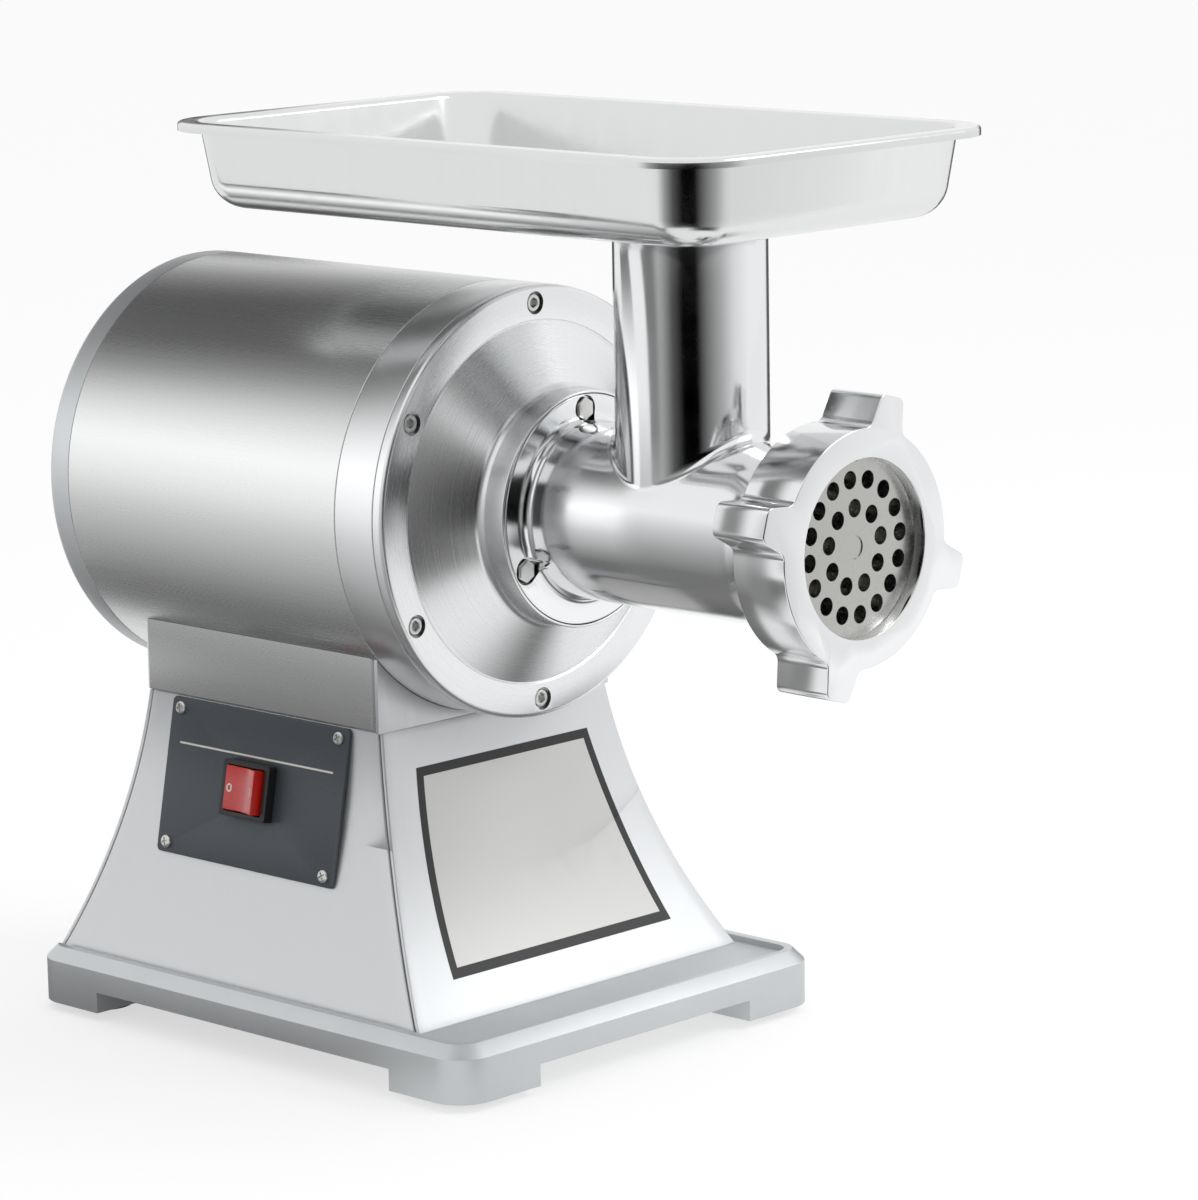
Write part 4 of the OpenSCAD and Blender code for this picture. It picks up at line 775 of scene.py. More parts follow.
def ring_outline():
    """Four lugs with rounded tips on a round body, hollowed out at their roots."""
    root, tip, root_round, tip_round = 10.5 * MM, 7.2 * MM, 5 * MM, 3.6 * MM
    margin, round_steps = 5.5, 14      # degrees left free beside each root, for its rounding
    turn = math.degrees(math.asin(root / RING_R)) + margin
    corners = []
    for lug in range(4):
        middle_angle = math.radians(73.5 + 90 * lug)
        out = Vector((math.cos(middle_angle), math.sin(middle_angle)))
        side = Vector((-out.y, out.x))
        root_out = math.sqrt(RING_R ** 2 - root ** 2)
        for along, across, radius in (
            (root_out, -root, root_round), (LUG_TIP_R, -tip, tip_round),
            (LUG_TIP_R, tip, tip_round), (root_out, root, root_round),
        ):
            point = out * along + side * across
            corners.append((point.x, point.y, radius))
        for k in range(round_steps + 1):
            a = middle_angle + math.radians(turn + (90 - 2 * turn) * k / round_steps)
            corners.append((RING_R * math.cos(a), RING_R * math.sin(a), 0))
    return rounded(corners)


def ring():
    """The cast ring that holds the plate, polished all over."""
    front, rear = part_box("ring_nut")[0].y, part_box("ring_nut")[1].y
    place = Matrix.Translation((0, rear, AXIS_H)) @ Matrix.Rotation(math.pi / 2, 4, "X")
    piece = slab("ring", ring_outline(), rear - front, place)
    thread_r, plate_r = 46.8 * MM, 41.5 * MM
    thread_end, lip = front + 7 * MM, front + 6 * MM
    bore = turned("ring_bore", [
        (rear + MM, 0, 0), (rear + MM, thread_r, 0), (thread_end, thread_r, 0),
        (thread_end, plate_r, 0), (lip, plate_r, 0),
        (lip, OUTLET_R, 0), (front - MM, OUTLET_R, 0), (front - MM, 0, 0),
    ], closed=False, steps=144)
    cut(piece, bore)
    soften(piece, 1.3 * MM, 4, 50)
    return done(piece, "ring", "polished_stainless", "ring_nut", angle=35)


# ---- Tray ----------------------------------------------------------------------------------

def tray():
    """The pressed tray: flat rim with a turned-down edge, tapered walls, rounded floor."""
    low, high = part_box("tray")
    rim, corner_r, taper, sheet = 11 * MM, 33 * MM, 5 * MM, 1.2 * MM
    floor_r, rim_bend_r, lip, lip_bend_r = 12 * MM, 2.5 * MM, 4 * MM, 1.6 * MM
    hole_r, collar_wall, collar_l = 28 * MM, 1.2 * MM, 16 * MM
    seat = NECK_TOP + sheet
    width, length = high.x - low.x, high.y - low.y
    middle_y = (low.y + high.y) / 2
    piece = primitive("plane", "tray_pan", size=1, location=(0, middle_y, high.z))
    edit(piece)
    pick_all()
    bpy.ops.transform.resize(value=(width, length, 1), center_override=(0, middle_y, high.z))
    bevel(corner_r, 14, affect="VERTICES")
    pick("faces", lambda f: True)
    bpy.ops.mesh.inset(thickness=rim)
    inner_w, inner_l = width - 2 * rim, length - 2 * rim
    extrude(0, 0, seat - high.z)
    bpy.ops.transform.resize(
        value=((inner_w - 2 * taper) / inner_w, (inner_l - 2 * taper) / inner_l, 1),
        center_override=(0, middle_y, seat),
    )
    pick("edges", lambda e: at_height(e, seat))
    bevel(floor_r, 8)
    pick("edges", lambda e: at_height(e, high.z) and len(e.link_faces) == 2
         and any(f.normal.z < 0.9 for f in e.link_faces))
    bevel(rim_bend_r, 5)
    pick("edges", lambda e: e.is_boundary)
    extrude(0, 0, -lip)
    pick("edges", lambda e: at_height(e, high.z)
         and any(abs(f.normal.z) < 0.1 for f in e.link_faces))
    bevel(lip_bend_r, 5)
    pick_all()
    bpy.ops.mesh.normals_make_consistent(inside=False)
    leave()
    modify(piece, "SOLIDIFY", thickness=sheet, offset=-1)
    outwards(piece)
    cut(piece, rod("hole", hole_r, (0, NECK_Y, NECK_TOP - MM), (0, NECK_Y, seat + MM), 128))
    foot, top = NECK_TOP - collar_l, NECK_TOP + sheet / 2
    collar = rod("collar", hole_r + collar_wall, (0, NECK_Y, foot), (0, NECK_Y, top), 128)
    cut(collar, rod("bore", hole_r, (0, NECK_Y, foot - MM), (0, NECK_Y, top + MM), 128))
    return done(joined("tray_pan", piece, collar), "tray", "tray_stainless", "tray", angle=35)


# ---- Pedestal and base ---------------------------------------------------------------------

SEAM_H = AXIS_H - DRUM_R
SINK_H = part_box("front_panel")[0].z
SADDLE_MID_Y = 92.8 * MM
SADDLE_W, SADDLE_L = 149 * MM, 158 * MM
SIDE = (72.5 * MM, 104.5 * MM, 4.6 * MM)     # reach at the top and the foot, and hollow
FRONT = (79 * MM, 131 * MM, 7.7 * MM)
REAR = (79 * MM, 113 * MM, 4.8 * MM)
PANEL_T, PANEL_GAP = 2 * MM, 0.1 * MM


def reach(face, height):
    """How far a hollow face of the pedestal stands out from the middle, at a height."""
    top, foot, hollow = face
    rise = SEAM_H - SINK_H
    chord = math.hypot(foot - top, rise)
    radius = chord ** 2 / (8 * hollow) + hollow / 2
    lean = math.atan2(foot - top, rise)
    centre_out = (top + foot) / 2 + (radius - hollow) * math.cos(lean)
    centre_h = (SEAM_H + SINK_H) / 2 + (radius - hollow) * math.sin(lean)
    return centre_out - math.sqrt(radius ** 2 - (height - centre_h) ** 2)


def pedestal_sheet(name, direction, place):
    """A bowed sheet that faces a direction.

    place gives a point of it from a share across, -1 to 1, and a height.
    """
    piece = primitive("grid", name, x_subdivisions=24, y_subdivisions=32, size=2)
    for vertex in piece.data.vertices:
        share = (vertex.co.y + 1) / 2
        vertex.co = place(vertex.co.x, SINK_H + (SEAM_H - PANEL_GAP - SINK_H) * share)
    face_towards(piece, Vector(direction))
    modify(piece, "SOLIDIFY", thickness=PANEL_T, offset=-1)
    soften(piece, 0.7 * MM, 3, 50)
    return piece


def end_point(face, way):
    """Places the points of the front sheet, way -1, or of the rear one, way 1."""
    def point(across, height):
        half = reach(SIDE, height) - PANEL_GAP
        return across * half, SADDLE_MID_Y + way * reach(face, height), height
    return point


def side_point(way):
    """Places the points of the left sheet, way -1, or of the right one, way 1."""
    def point(across, height):
        gap = PANEL_T + 0.75 * MM
        front = SADDLE_MID_Y - reach(FRONT, height) + gap
        rear = SADDLE_MID_Y + reach(REAR, height) - gap
        return way * reach(SIDE, height), front + (rear - front) * (across + 1) / 2, height
    return point


def front_panel():
    """The front sheet, with the tab that closes the saddle's end under the drum."""
    piece = pedestal_sheet("front_sheet", (0, -1, 0), end_point(FRONT, -1))
    y, top = SADDLE_MID_Y - SADDLE_L / 2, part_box("front_panel")[1].z
    tab = block("tab", (-SADDLE_W / 2, y, SEAM_H - 0.5 * MM), (SADDLE_W / 2, y + PANEL_T, top))
    cut(tab, rod(
        "drum_cut", DRUM_R + 0.2 * MM, (0, y - MM, AXIS_H), (0, y + 9 * MM, AXIS_H), 192
    ))
    soften(tab, 0.5 * MM, 2, 50)
    return done(
        joined("front_sheet", piece, tab), "machine", "painted_sheet", "front_panel", angle=35
    )


def rear_panel():
    """The rear sheet, with the gland's hole square to its slope."""
    piece = pedestal_sheet("rear_sheet", (0, 1, 0), end_point(REAR, 1))
    gland_end, gland_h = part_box("cable_gland")[1].y, 52 * MM
    cut(piece, rod(
        "hole", 7.6 * MM, (0, gland_end - 30 * MM, gland_h - 11 * MM),
        (0, gland_end + 5 * MM, gland_h + 2 * MM), 64,
    ))
    return done(piece, "machine", "painted_sheet", "rear_panel", angle=35)


def side_panels():
    """The side sheets, the left one with the switch's window."""
    left = pedestal_sheet("left_sheet", (-1, 0, 0), side_point(-1))
    cut(left, slab("window", box_outline(30 * MM, 25 * MM, MM), 20 * MM, on_plate(z=-12 * MM)))
    done(left, "machine", "painted_sheet", "left_panel", angle=35)
    right = pedestal_sheet("right_sheet", (1, 0, 0), side_point(1))
    done(right, "machine", "painted_sheet", "right_panel", angle=35)


def saddle():
    """The saddle under the drum, its upright edges rounded."""
    front = SADDLE_MID_Y - SADDLE_L / 2 + PANEL_T + 0.5 * MM
    rear = SADDLE_MID_Y + SADDLE_L / 2
    foot, top = SEAM_H + 0.2 * MM, SEAM_H + 34.2 * MM
    piece = block("drum_saddle", (-SADDLE_W / 2, front, foot), (SADDLE_W / 2, rear, top))
    edit(piece)
    pick("edges", upright)
    bevel(3 * MM, 5)
    pick("edges", lambda e: at_height(e, foot))
    bevel(0.8 * MM, 3)
    leave()
    cut(piece, rod(
        "drum_cut", DRUM_R + 0.1 * MM, (0, front - 9 * MM, AXIS_H), (0, rear + 9 * MM, AXIS_H), 256
    ))
    return done(piece, "machine", "satin_stainless", "saddle", angle=35)


def base():
    """The cast base: rounded corners, a bevelled top edge, a sunk panel and four legs."""
    low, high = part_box("base_casting")
    under, corner_r, bevel_w = 14 * MM, 17 * MM, 5.6 * MM
    leg_w, leg_l = 49 * MM, 46 * MM
    sink, sunk_front, sunk_margin = 2.5 * MM, low.y + 9 * MM, 3.5 * MM
    piece = block("cast_base", (low.x, low.y, under), high)
    edit(piece)
    pick("edges", upright)
    bevel(corner_r, 10)
    for x in (low.x + leg_w, high.x - leg_w):
        pick_all()
        bpy.ops.mesh.bisect(plane_co=(x, 0, 0), plane_no=(1, 0, 0))
    for y in (low.y + leg_l, high.y - leg_l):
        pick_all()
        bpy.ops.mesh.bisect(plane_co=(0, y, 0), plane_no=(0, 1, 0))
    centre = (low + high) / 2

    def leg_foot(f):
        m = middle(f)
        return (
            f.normal.z < -0.9 and abs(m.x - centre.x) > (high.x - low.x) / 2 - leg_w
            and abs(m.y - centre.y) > (high.y - low.y) / 2 - leg_l
        )

    pick("faces", leg_foot)
    extrude(0, 0, low.z - under)
    leave()
    edit(piece)
    pick("faces", lambda f: f.normal.z > 0.9)
    bpy.ops.mesh.dissolve_faces()
    pick("edges", lambda e: at_height(e, high.z))
    bevel(bevel_w, 1)
    leave()
    sunk_rear = SADDLE_MID_Y + REAR[1] + sunk_margin
    cut(piece, slab(
        "sunk", box_outline(2 * (SIDE[1] + sunk_margin), sunk_rear - sunk_front, 8 * MM),
        10 * MM, Matrix.Translation((0, (sunk_front + sunk_rear) / 2, high.z - sink)),
    ))
    soften(piece, 1.2 * MM, 3, 35)
    return done(piece, "machine", "cast_aluminium", "base_casting", angle=35)


# ---- Switch --------------------------------------------------------------------------------

TILT = math.radians(11.05)
SWITCH_X, SWITCH_H = -79.6 * MM, 114.7 * MM
SWITCH_PLACE = Matrix((
    (0, math.sin(TILT), -math.cos(TILT), SWITCH_X),
    (-1, 0, 0, SADDLE_MID_Y),
    (0, math.cos(TILT), math.sin(TILT), SWITCH_H),
    (0, 0, 0, 1),
))
PLATE_W, PLATE_H, PLATE_T = 120 * MM, 73 * MM, 1.5 * MM      # the switch plate


def on_plate(x=0, y=0, z=0):
    """A place on the switch's plane: x to the front, y up the slope and z outwards."""
    return SWITCH_PLACE @ Matrix.Translation((x, y, z))


def switch_plate():
    """The printed plate, its corners rounded and its edges eased, with a white rule."""
    piece = slab("switch_panel", box_outline(PLATE_W, PLATE_H, 2.5 * MM), PLATE_T, on_plate())
    cut(piece, slab(
        "window", box_outline(29.2 * MM, 24.2 * MM, MM), 6 * MM, on_plate(z=-2 * MM)
    ))
    soften(piece, 0.35 * MM, 3, 50)
    done(piece, "machine", "slate_plate", "switch_plate", angle=35)
    rule_l, rule_w, rule_y, ink = 104 * MM, 0.9 * MM, 15.5 * MM, 0.06 * MM
    rule = slab(
        "switch_rule", box_outline(rule_l, rule_w, 0.3 * MM), ink, on_plate(y=rule_y, z=PLATE_T)
    )
    done(rule, "machine", "white_nylon")


def switch_screws():
    """Four cross-headed screws with domed heads."""
    head_r, head_h, dome, inset_x, inset_y = 3.1 * MM, 1.6 * MM, 1.1 * MM, 6.5 * MM, 5 * MM
    arm, half_slot, slot_h, first_turn = 2 * MM, 0.4 * MM, 0.7 * MM, 0.4
    screws = []
    for x in (inset_x - PLATE_W / 2, PLATE_W / 2 - inset_x):
        for y in (inset_y - PLATE_H / 2, PLATE_H / 2 - inset_y):
            screw = rod("screw", head_r, (0, 0, 0), (0, 0, head_h), 48)
            edit(screw)
            pick("edges", lambda e: at_height(e, head_h))
            bevel(dome, 5)
            leave()
            for turn in (first_turn, first_turn + math.pi / 2):
                slot = block("slot", (-arm, -half_slot, slot_h), (arm, half_slot, 2 * head_h))
                slot.data.transform(Matrix.Rotation(turn + x / MM, 4, "Z"))
                cut(screw, slot)
            screw.data.transform(on_plate(x, y, PLATE_T))
            screws.append(screw)
    done(
        joined("switch_screws", *screws), "machine", "bright_fastener", "switch_plate_screws",
        angle=30,
    )


def switch_frame():
    """The switch's moulded bezel, its rim eased in to the rocker's well."""
    w, h, proud, back_l = 31 * MM, 26 * MM, 5 * MM, 20 * MM
    piece = slab("switch_frame", box_outline(w, h, 1.5 * MM), proud, on_plate(z=PLATE_T))
    back = slab(
        "back", box_outline(w - 2 * MM, h - 2 * MM, 0.5 * MM), back_l + MM, on_plate(z=-back_l)
    )
    modify(piece, "BOOLEAN", object=back, operation="UNION", solver="EXACT")
    bpy.data.objects.remove(back)
    cut(piece, slab(
        "well", box_outline(25.1 * MM, 21.6 * MM, 0.6 * MM), 20 * MM, on_plate(z=-7 * MM)
    ))
    soften(piece, 0.6 * MM, 3, 50)
    done(piece, "machine", "black_plastic", "switch_body", angle=35)


def rocker_paddle():
    """The rocker: a shallow V with crisp ribs, and a bar and a ring moulded on its halves."""
    throw, half_l, half_w, heel, shoulder = math.radians(9), 11.45 * MM, 10.3 * MM, 3 * MM, 0.5 * MM
    centre_h, quarter_h, end_h = 5.5 * MM, 6.4 * MM, 8.1 * MM
    place = on_plate(z=MM) @ Matrix.Rotation(-throw, 4, "Y")
    outline = [
        (-half_l, shoulder), (-heel, -heel), (heel, -heel), (half_l, shoulder), (half_l, end_h),
        (half_l / 2, quarter_h), (0, centre_h), (-half_l / 2, quarter_h), (-half_l, end_h),
    ]
    lay = place @ Matrix.Translation((0, half_w, 0)) @ Matrix.Rotation(math.pi / 2, 4, "X")
    piece = slab("rocker_paddle", outline, 2 * half_w, lay)
    soften(piece, 0.5 * MM, 3, 25)
    done(piece, "rocker", "red_rocker", "rocker", angle=25)

    slope = math.atan2(end_h - quarter_h, half_l / 2)
    mark_x, mark_h, mark_l, proud = 0.75 * half_l, (quarter_h + end_h) / 2, 4 * MM, 0.12 * MM
    line_w = 0.8 * MM
    on_bar, on_ring = [
        place @ Matrix.Translation((side * mark_x, 0, mark_h - proud))
        @ Matrix.Rotation(-side * slope, 4, "Y")
        for side in (1, -1)
    ]
    bar = slab("bar", box_outline(0.9 * MM, mark_l, 0.4 * MM), 2 * proud, on_bar)
    oval_w, round_r = 3.2 * MM, 1.59 * MM
    oval = slab("oval", box_outline(oval_w, mark_l, round_r), 2 * proud, on_ring)
    cut(oval, slab(
        "inside", box_outline(oval_w - 2 * line_w, mark_l - 2 * line_w, round_r - line_w),
        8 * proud, on_ring @ Matrix.Translation((0, 0, -3 * proud)),
    ))
    done(joined("rocker_marks", bar, oval), "rocker", "white_nylon")


# ---- Gearbox, cover screws and feet --------------------------------------------------------

def gearbox_rim():
    """The turned rim between the drum and the cover, and the housing inside it."""
    front, rim_end = COVER_FACE_Y + RIM_T + SEAM, drum_low.y - SEAM
    spigot_r = DRUM_R - DRUM_WALL - 0.1 * MM
    inner, collar_r, collar_wall, boss_r = DRUM_R - DRUM_WALL - 6 * MM, 80 * MM, 6 * MM, 25 * MM
    shaft_r, bearing_r = 16 * MM, 20 * MM
    floor_y = COVER_FACE_Y + 48 * MM
    back, collar_end, boss_end = floor_y + 6 * MM, floor_y + 40 * MM, floor_y + 15 * MM
    bearing_end = floor_y + 12 * MM
    piece = turned("gear_case", [
        (front, inner, 0), (front, DRUM_R, 0.4 * MM), (rim_end, DRUM_R, 0.4 * MM),
        (rim_end, spigot_r, 0), (back, spigot_r, MM), (back, collar_r, 0),
        (collar_end, collar_r, 0.5 * MM), (collar_end, collar_r - collar_wall, 0.5 * MM),
        (back, collar_r - collar_wall, 2 * MM), (back, boss_r, MM), (boss_end, boss_r, MM),
        (boss_end, shaft_r, 0), (bearing_end, shaft_r, 0), (bearing_end, bearing_r, 0),
        (floor_y, bearing_r, 0), (floor_y, inner, 4 * MM),
    ])
    return done(piece, "machine", "machined_aluminium", "gearbox_housing")


def cover_screws():
    """Six socket-head screws sunk in their counterbores."""
    top, head_h, socket_h, length = COVER_FACE_Y + 0.8 * MM, 5 * MM, 2.6 * MM, 18 * MM
    screws = []
    for x, z in around(6, SCREW_CIRCLE_R, 30):
        screw = rod("screw", 4 * MM, (x, top + head_h, z), (x, top, z), 48)
        cut(screw, rod("socket", 2.4 * MM, (x, top + socket_h, z), (x, top - MM, z), 6))
        soften(screw, 0.5 * MM, 3, 50)
        shank_top = top + head_h - 0.1 * MM
        shank = rod("shank", 2.4 * MM, (x, top + length, z), (x, shank_top, z), 24)
        screws += [screw, shank]
    done(
        joined("cap_screws", *screws), "machine", "bright_fastener", "cover_screws", angle=35
    )


def feet():
    """Moulded rubber feet, tapered and eased, with a hole for their screws."""
    low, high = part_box("rubber_feet")
    inset, foot_r, top_r, thick = 14.5 * MM, 13 * MM, 14.4 * MM, 4 * MM
    pads = []
    for x in (low.x + inset, high.x - inset):
        for y in (low.y + inset, high.y - inset):
            pad = primitive(
                "cone", "pad", radius1=foot_r, radius2=top_r, depth=thick, vertices=64,
                location=(x, y, thick / 2),
            )
            edit(pad)
            pick("edges", lambda e: at_height(e, 0))
            bevel(0.8 * MM, 3)
            leave()
            cut(pad, rod("hole", 5.5 * MM, (x, y, -MM), (x, y, thick / 2), 48))
            pads.append(pad)
    done(joined("feet", *pads), "machine", "black_rubber", "rubber_feet", angle=35)


# ---- Label ---------------------------------------------------------------------------------

# Its top and foot above the table, its half-width at each, and its border
LABEL_TOP, LABEL_FOOT = 133 * MM, 44 * MM
LABEL_TOP_W, LABEL_FOOT_W = 55.5 * MM, 71.4 * MM
LABEL_BORDER = 4.2 * MM


def label_sheet(name, inset, lift, slot):
    """A thin sheet that follows the hollow front, lift above it. inset draws its edges in."""
    piece = primitive("grid", name, x_subdivisions=2, y_subdivisions=24, size=2)
    for vertex in piece.data.vertices:
        share = (vertex.co.y + 1) / 2
        height = LABEL_FOOT + inset + (LABEL_TOP - LABEL_FOOT - 2 * inset) * share
        risen = (height - LABEL_FOOT) / (LABEL_TOP - LABEL_FOOT)
        half = LABEL_FOOT_W + (LABEL_TOP_W - LABEL_FOOT_W) * risen - inset
        vertex.co = (
            vertex.co.x * half, SADDLE_MID_Y - reach(FRONT, height) - lift, height
        )
    face_towards(piece, Vector((0, -1, 0)))
    modify(piece, "SOLIDIFY", thickness=lift, offset=-1)
    return done(piece, "machine", slot)


def label():
    """A black-bordered label, its field left blank."""
    label_sheet("label_border", 0, 0.12 * MM, "black_plastic")
    label_sheet("label_field", LABEL_BORDER, 0.17 * MM, "label_foil")


drum()
rear_cap()
front_cover()
head()
head_bolts()
ring()
tray()
front_panel()
rear_panel()
side_panels()
saddle()
base()
gearbox_rim()
cover_screws()
switch_plate()
switch_screws()
switch_frame()
rocker_paddle()
feet()
label()


# ---- Studio --------------------------------------------------------------------------------

SKY_LIGHT = 0.75                 # how strongly the world lights the machine
TABLE_GREY, TABLE_GLOW = 0.45, 0.62


def camera():
    """A long lens, a little above the machine, off the corner between switch and outlet."""
    place = Vector((-1.5634, -1.5574, 0.6200))
    heading, down, roll = math.radians(46.1), math.radians(10.717), math.radians(-1.011)
    ahead = Vector((
        math.sin(heading) * math.cos(down), math.cos(heading) * math.cos(down), -math.sin(down),
    ))
    level = Vector((math.cos(heading), -math.sin(heading), 0))
    upward = level.cross(ahead)
    right = math.cos(roll) * level + math.sin(roll) * upward
    up = math.cos(roll) * upward - math.sin(roll) * level
    view = bpy.data.objects.new("camera", bpy.data.cameras.new("camera"))
    view.data.lens = 147.98
    view.data.sensor_width = 36
    view.data.clip_end = 50
    view.matrix_world = (
        Matrix.Translation(place) @ Matrix((right, up, -ahead)).transposed().to_4x4()
    )
    bpy.context.scene.collection.objects.link(view)
    bpy.context.scene.camera = view


def seen_by(tree, *rays):
    """1 for the named rays, and 0 for the others."""
    path = add(tree, "ShaderNodeLightPath")
    total = path.outputs[rays[0]]
    for ray in rays[1:]:
        total = add(
            tree, "ShaderNodeMath", {0: total, 1: path.outputs[ray]}, operation="MAXIMUM"
        ).outputs["Value"]
    return total


def world():
    """White behind the machine, and an even soft light on it."""
    sky = bpy.data.worlds.new("studio")
    sky.use_nodes = True
    tree = sky.node_tree
    background = tree.nodes["Background"]
    background.inputs["Color"].default_value = (1, 1, 1, 1)
    strength = add(
        tree, "ShaderNodeMapRange",
        {"Value": seen_by(tree, "Is Camera Ray", "Is Glossy Ray", "Is Transmission Ray"),
         "To Min": SKY_LIGHT, "To Max": 1.0},
    )
    tree.links.new(strength.outputs["Result"], background.inputs["Strength"])
    bpy.context.scene.world = sky


def floor():
    """A white table that keeps the machine's shadow."""
    bpy.ops.mesh.primitive_plane_add(size=60)
    table = bpy.context.object
    table.name = "table"
    material, tree, shader = new_material("table", "#ffffff", 0.9)
    shader.inputs["Base Color"].default_value = (TABLE_GREY, TABLE_GREY, TABLE_GREY, 1)
    shader.inputs["Specular IOR Level"].default_value = 0.0
    glow = add(
        tree, "ShaderNodeMath",
        {0: seen_by(tree, "Is Camera Ray", "Is Glossy Ray", "Is Transmission Ray"),
         1: TABLE_GLOW},
        operation="MULTIPLY",
    )
    shader.inputs["Emission Color"].default_value = (1, 1, 1, 1)
    tree.links.new(glow.outputs["Value"], shader.inputs["Emission Strength"])
    table.data.materials.append(material)


def lamp(name, place, target, size, power):
    """A square soft box, aimed at a point."""
    light = bpy.data.objects.new(name, bpy.data.lights.new(name, "AREA"))
    light.data.shape = "RECTANGLE"
    light.data.size, light.data.size_y = size
    light.data.energy = power
    light.location = place
    aim = Vector(target) - Vector(place)
    light.rotation_euler = aim.to_track_quat("-Z", "Y").to_euler()
    bpy.context.scene.collection.objects.link(light)


def glossy_only(piece):
    """Hides a card from all but glossy rays, and gives it a material with an empty tree."""
    for ray in ("camera", "diffuse", "shadow", "transmission", "volume_scatter"):
        setattr(piece, "visible_" + ray, False)
    material = bpy.data.materials.new(piece.name)
    material.use_nodes = True
    material.node_tree.nodes.clear()
    piece.data.materials.append(material)
    return material.node_tree


def faded(tree, cover, value, start, end):
    """A card's cover, which fades in as a value goes from start to end."""
    share = add(
        tree, "ShaderNodeMapRange", {"Value": value, "From Min": start, "From Max": end},
        interpolation_type="SMOOTHSTEP",
    )
    return add(
        tree, "ShaderNodeMath", {0: cover, 1: share.outputs["Result"]}, operation="MULTIPLY"
    ).outputs["Value"]


def light_card(tree, cover, colour, strength):
    """Makes a card shine where it covers, and leaves it clear elsewhere."""
    clear = add(tree, "ShaderNodeBsdfTransparent")
    lit = add(tree, "ShaderNodeEmission", {"Color": colour, "Strength": strength})
    mixed = add(tree, "ShaderNodeMixShader", {
        "Fac": cover, 1: clear.outputs["BSDF"], 2: lit.outputs["Emission"],
    })
    add(tree, "ShaderNodeOutputMaterial", {"Surface": mixed.outputs["Shader"]})


def card(name, seen_from, azimuth, rise, distance, size, density, soft):
    """A dark soft-edged card that only glossy surfaces see. It faces the point it is seen from.

    azimuth and rise, in degrees, point from there to the card's middle. size is its width and
    height, density its darkness, and soft the share of its half that fades out to its edges.
    """
    turn, lift = math.radians(azimuth), math.radians(rise)
    away = Vector((
        math.cos(turn) * math.cos(lift), math.sin(turn) * math.cos(lift), math.sin(lift)
    ))
    bpy.ops.object.select_all(action="DESELECT")
    bpy.ops.mesh.primitive_plane_add(size=2)
    piece = bpy.context.object
    piece.name = name
    piece.matrix_world = (
        Matrix.Translation(Vector(seen_from) + distance * away)
        @ (-away).to_track_quat("Z", "Y").to_matrix().to_4x4()
        @ Matrix.Diagonal((size[0] / 2, size[1] / 2, 1, 1))
    )
    tree = glossy_only(piece)
    place = add(
        tree, "ShaderNodeSeparateXYZ",
        {"Vector": add(tree, "ShaderNodeTexCoord").outputs["Object"]},
    )
    cover = density
    for axis in ("X", "Y"):
        out = add(tree, "ShaderNodeMath", {0: place.outputs[axis]}, operation="ABSOLUTE")
        cover = faded(tree, cover, out.outputs["Value"], 1.0, 1 - soft)
    light_card(tree, cover, (0, 0, 0, 1), 0.0)


def tones_across(tree, across, tones):
    """A ramp of tones. Each is an angle, a tone and, where it isn't 1, how much it covers."""
    first, last = tones[0][0], tones[-1][0]
    ramp = add(tree, "ShaderNodeValToRGB", {"Fac": across})
    stops = ramp.color_ramp.elements
    for angle, *look in tones[1:-1]:
        stops.new((angle - first) / (last - first))
    for stop, (angle, tone, *share) in zip(stops, tones):
        stop.color = (tone, tone, tone, *(share or [1]))
    return ramp


ZONE_BLEND, SCREEN_FADE = 6 * MM, 30 * MM    # where zones mix, and where the ends fade out


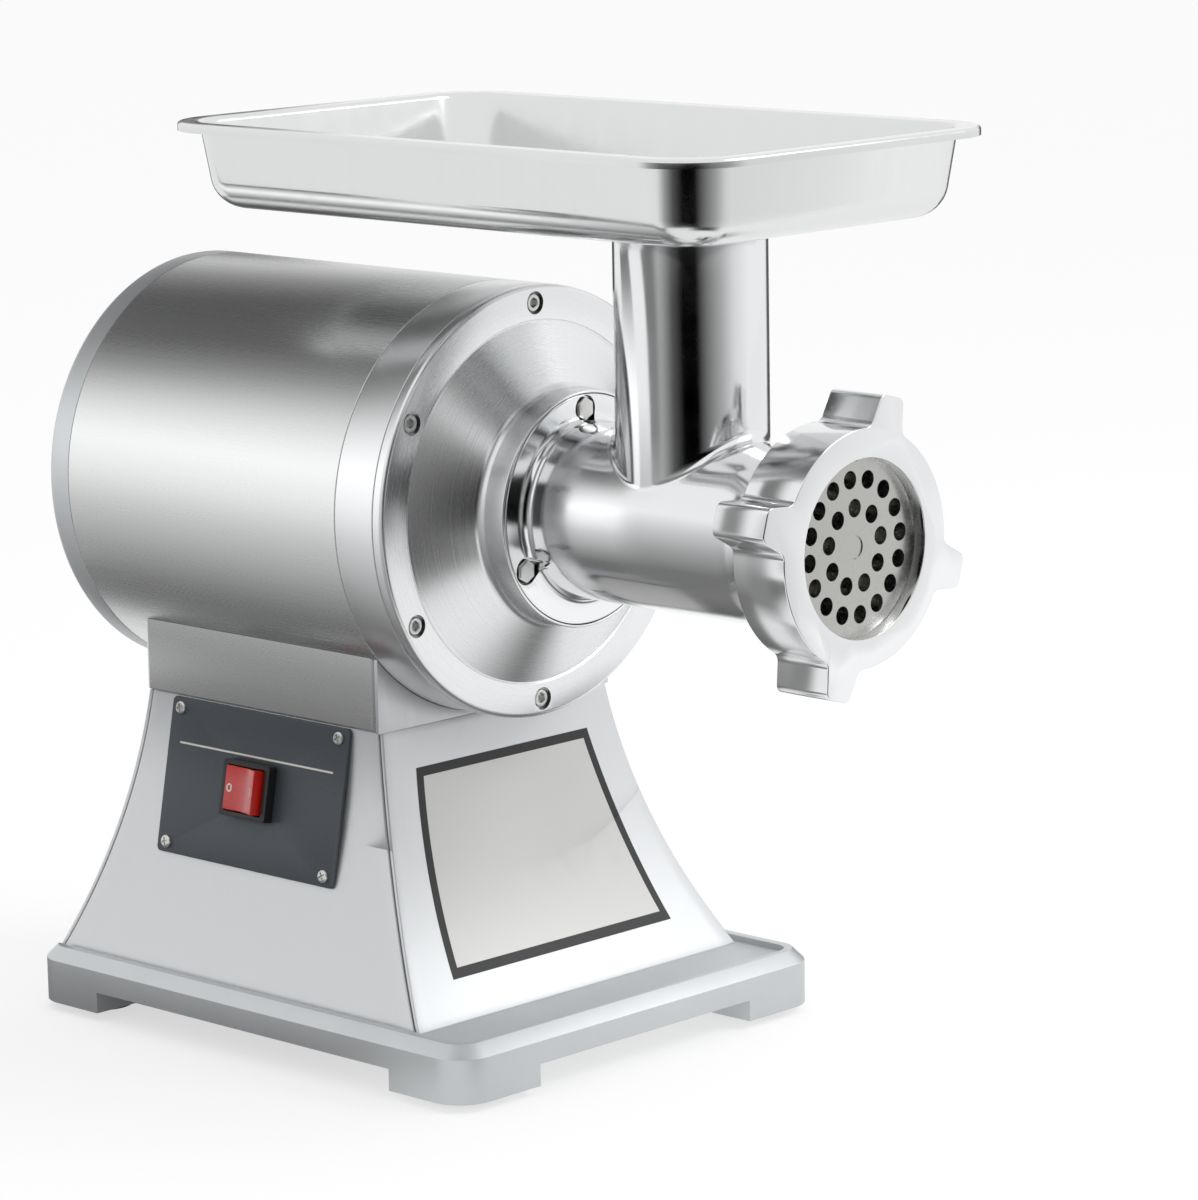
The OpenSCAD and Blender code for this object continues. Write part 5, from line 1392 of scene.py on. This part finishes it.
def screen(name, centre, start, across, radius, low, high, zones, strength=1.0):
    """A curved card round an axis, which only glossy surfaces see, and only from inside.

    It is radius away from the line through centre, and angles on it run from the direction
    start, at 0 degrees, towards across, at 90. low and high are its ends along that line. Each
    zone is where it starts along the line, and its tones, from 0, black, to 1, strength. The
    zones have the same first and last angle.
    """
    start, across = Vector(start), Vector(across)
    first, last = zones[0][1][0][0], zones[0][1][-1][0]
    bpy.ops.object.select_all(action="DESELECT")
    bpy.ops.mesh.primitive_grid_add(x_subdivisions=60, y_subdivisions=1, size=2)
    piece = bpy.context.object
    piece.name = name
    for vertex in piece.data.vertices:
        turn = math.radians(first + (last - first) * (vertex.co.x + 1) / 2)
        along = low + (high - low) * (vertex.co.y + 1) / 2
        vertex.co = (
            Vector(centre) + along * start.cross(across)
            + radius * (math.cos(turn) * start + math.sin(turn) * across)
        )
    first_face = piece.data.polygons[0]
    if (first_face.center - Vector(centre)).dot(first_face.normal) > 0:
        piece.data.flip_normals()
    tree = glossy_only(piece)
    place = add(
        tree, "ShaderNodeSeparateXYZ", {"Vector": add(tree, "ShaderNodeTexCoord").outputs["UV"]}
    )
    ramp = tones_across(tree, place.outputs["X"], zones[0][1])
    colour, cover = ramp.outputs["Color"], ramp.outputs["Alpha"]
    blend, soft = ZONE_BLEND / (high - low), SCREEN_FADE / (high - low)
    for border, tones in zones[1:]:
        ramp = tones_across(tree, place.outputs["X"], tones)
        at = (border - low) / (high - low)
        past = faded(tree, 1.0, place.outputs["Y"], at - blend, at + blend)
        colour = add(
            tree, "ShaderNodeMix", {0: past, MIX_A: colour, MIX_B: ramp.outputs["Color"]},
            data_type="RGBA",
        ).outputs[MIX_RESULT]
        cover = add(
            tree, "ShaderNodeMix", {0: past, MIX_LOW: cover, MIX_HIGH: ramp.outputs["Alpha"]},
            data_type="FLOAT",
        ).outputs[MIX_VALUE]
    for end, full in ((0.0, soft), (1.0, 1 - soft)):
        cover = faded(tree, cover, place.outputs["Y"], end, full)
    behind = add(tree, "ShaderNodeNewGeometry").outputs["Backfacing"]
    inside = add(
        tree, "ShaderNodeMath", {0: cover, 1: behind}, operation="SUBTRACT", use_clamp=True
    )
    light_card(tree, inside.outputs["Value"], colour, strength)


def cards():
    """The cards round the machine, which give its steel soft bands of light and dark.

    The first screen's zones face the ring, the barrel, the drum under the tray, and the drum
    behind it. Inside the tray, past 61 degrees, it is clear.
    """
    axis, neck, from_neck = (0, 0, AXIS_H), (0, NECK_Y, 0), (0, NECK_Y, 0.32)
    left, up, right, back = (-1, 0, 0), (0, 0, 1), (1, 0, 0), (0, 1, 0)
    drum_tones = [
        (-140, 0.25, 0), (-48, 0.25, 0), (-36, 0.25), (-12, 0.55), (0, 0.8), (15, 1.0),
        (30, 0.7), (46, 0.25), (58, 0.1),
    ]
    screen("body_screen", axis, left, up, 0.17, -0.125, 0.44, [
        (-0.125, [
            (-140, 0.75), (-126, 0.15), (-110, 0.1), (-88, 0.6), (-65, 0.65), (-46, 0.2),
            (-25, 0.2), (-5, 0.35), (12, 0.2), (58, 0.15), (61, 0.15, 0), (132, 0.15, 0),
        ]),
        (-0.063, [
            (-140, 0.2, 0), (-122, 0.2, 0), (-108, 0.1), (-75, 0.15), (-45, 0.15), (-20, 0.3),
            (2, 0.5), (20, 0.75), (30, 0.75, 0), (132, 0.75, 0),
        ]),
        (0.016, drum_tones + [(61, 0.1, 0), (132, 0.75, 0)]),
        (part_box("tray")[1].y, drum_tones + [(88, 0.08), (105, 0.25), (132, 0.75)]),
    ], 1.35)
    screen("dish_screen", neck, right, back, 0.32, -0.01, 0.2, [(0, [
        (215, 0.5, 0), (232, 0.15), (250, 0.05), (262, 0.08), (275, 0.2), (300, 0.5, 0),
    ])])
    screen("neck_screen", neck, right, back, 0.3, 0.15, 0.46, [(0, [
        (150, 1.0), (165, 1.0), (180, 0.4), (195, 0.1), (210, 0.0), (230, 0.0), (245, 0.2),
        (265, 0.45), (285, 0.8), (312, 1.0),
    ])])
    card("back_card", from_neck, 66, -5, 1.0, (0.44, 1.0), 0.95, 0.5)
    card("right_card", from_neck, 18, -5, 1.0, (0.5, 1.0), 0.9, 0.5)
    card("floor_card", (-0.3, 0.3, 0.5), 0, -90, 0.499, (0.6, 0.72), 0.8, 0.3)


camera()
world()
floor()
cards()
lamp("key", (0.9, -1.3, 1.5), (0, 0, 0.2), (0.9, 0.9), 12)

bpy.context.scene.view_settings.view_transform = "Standard"
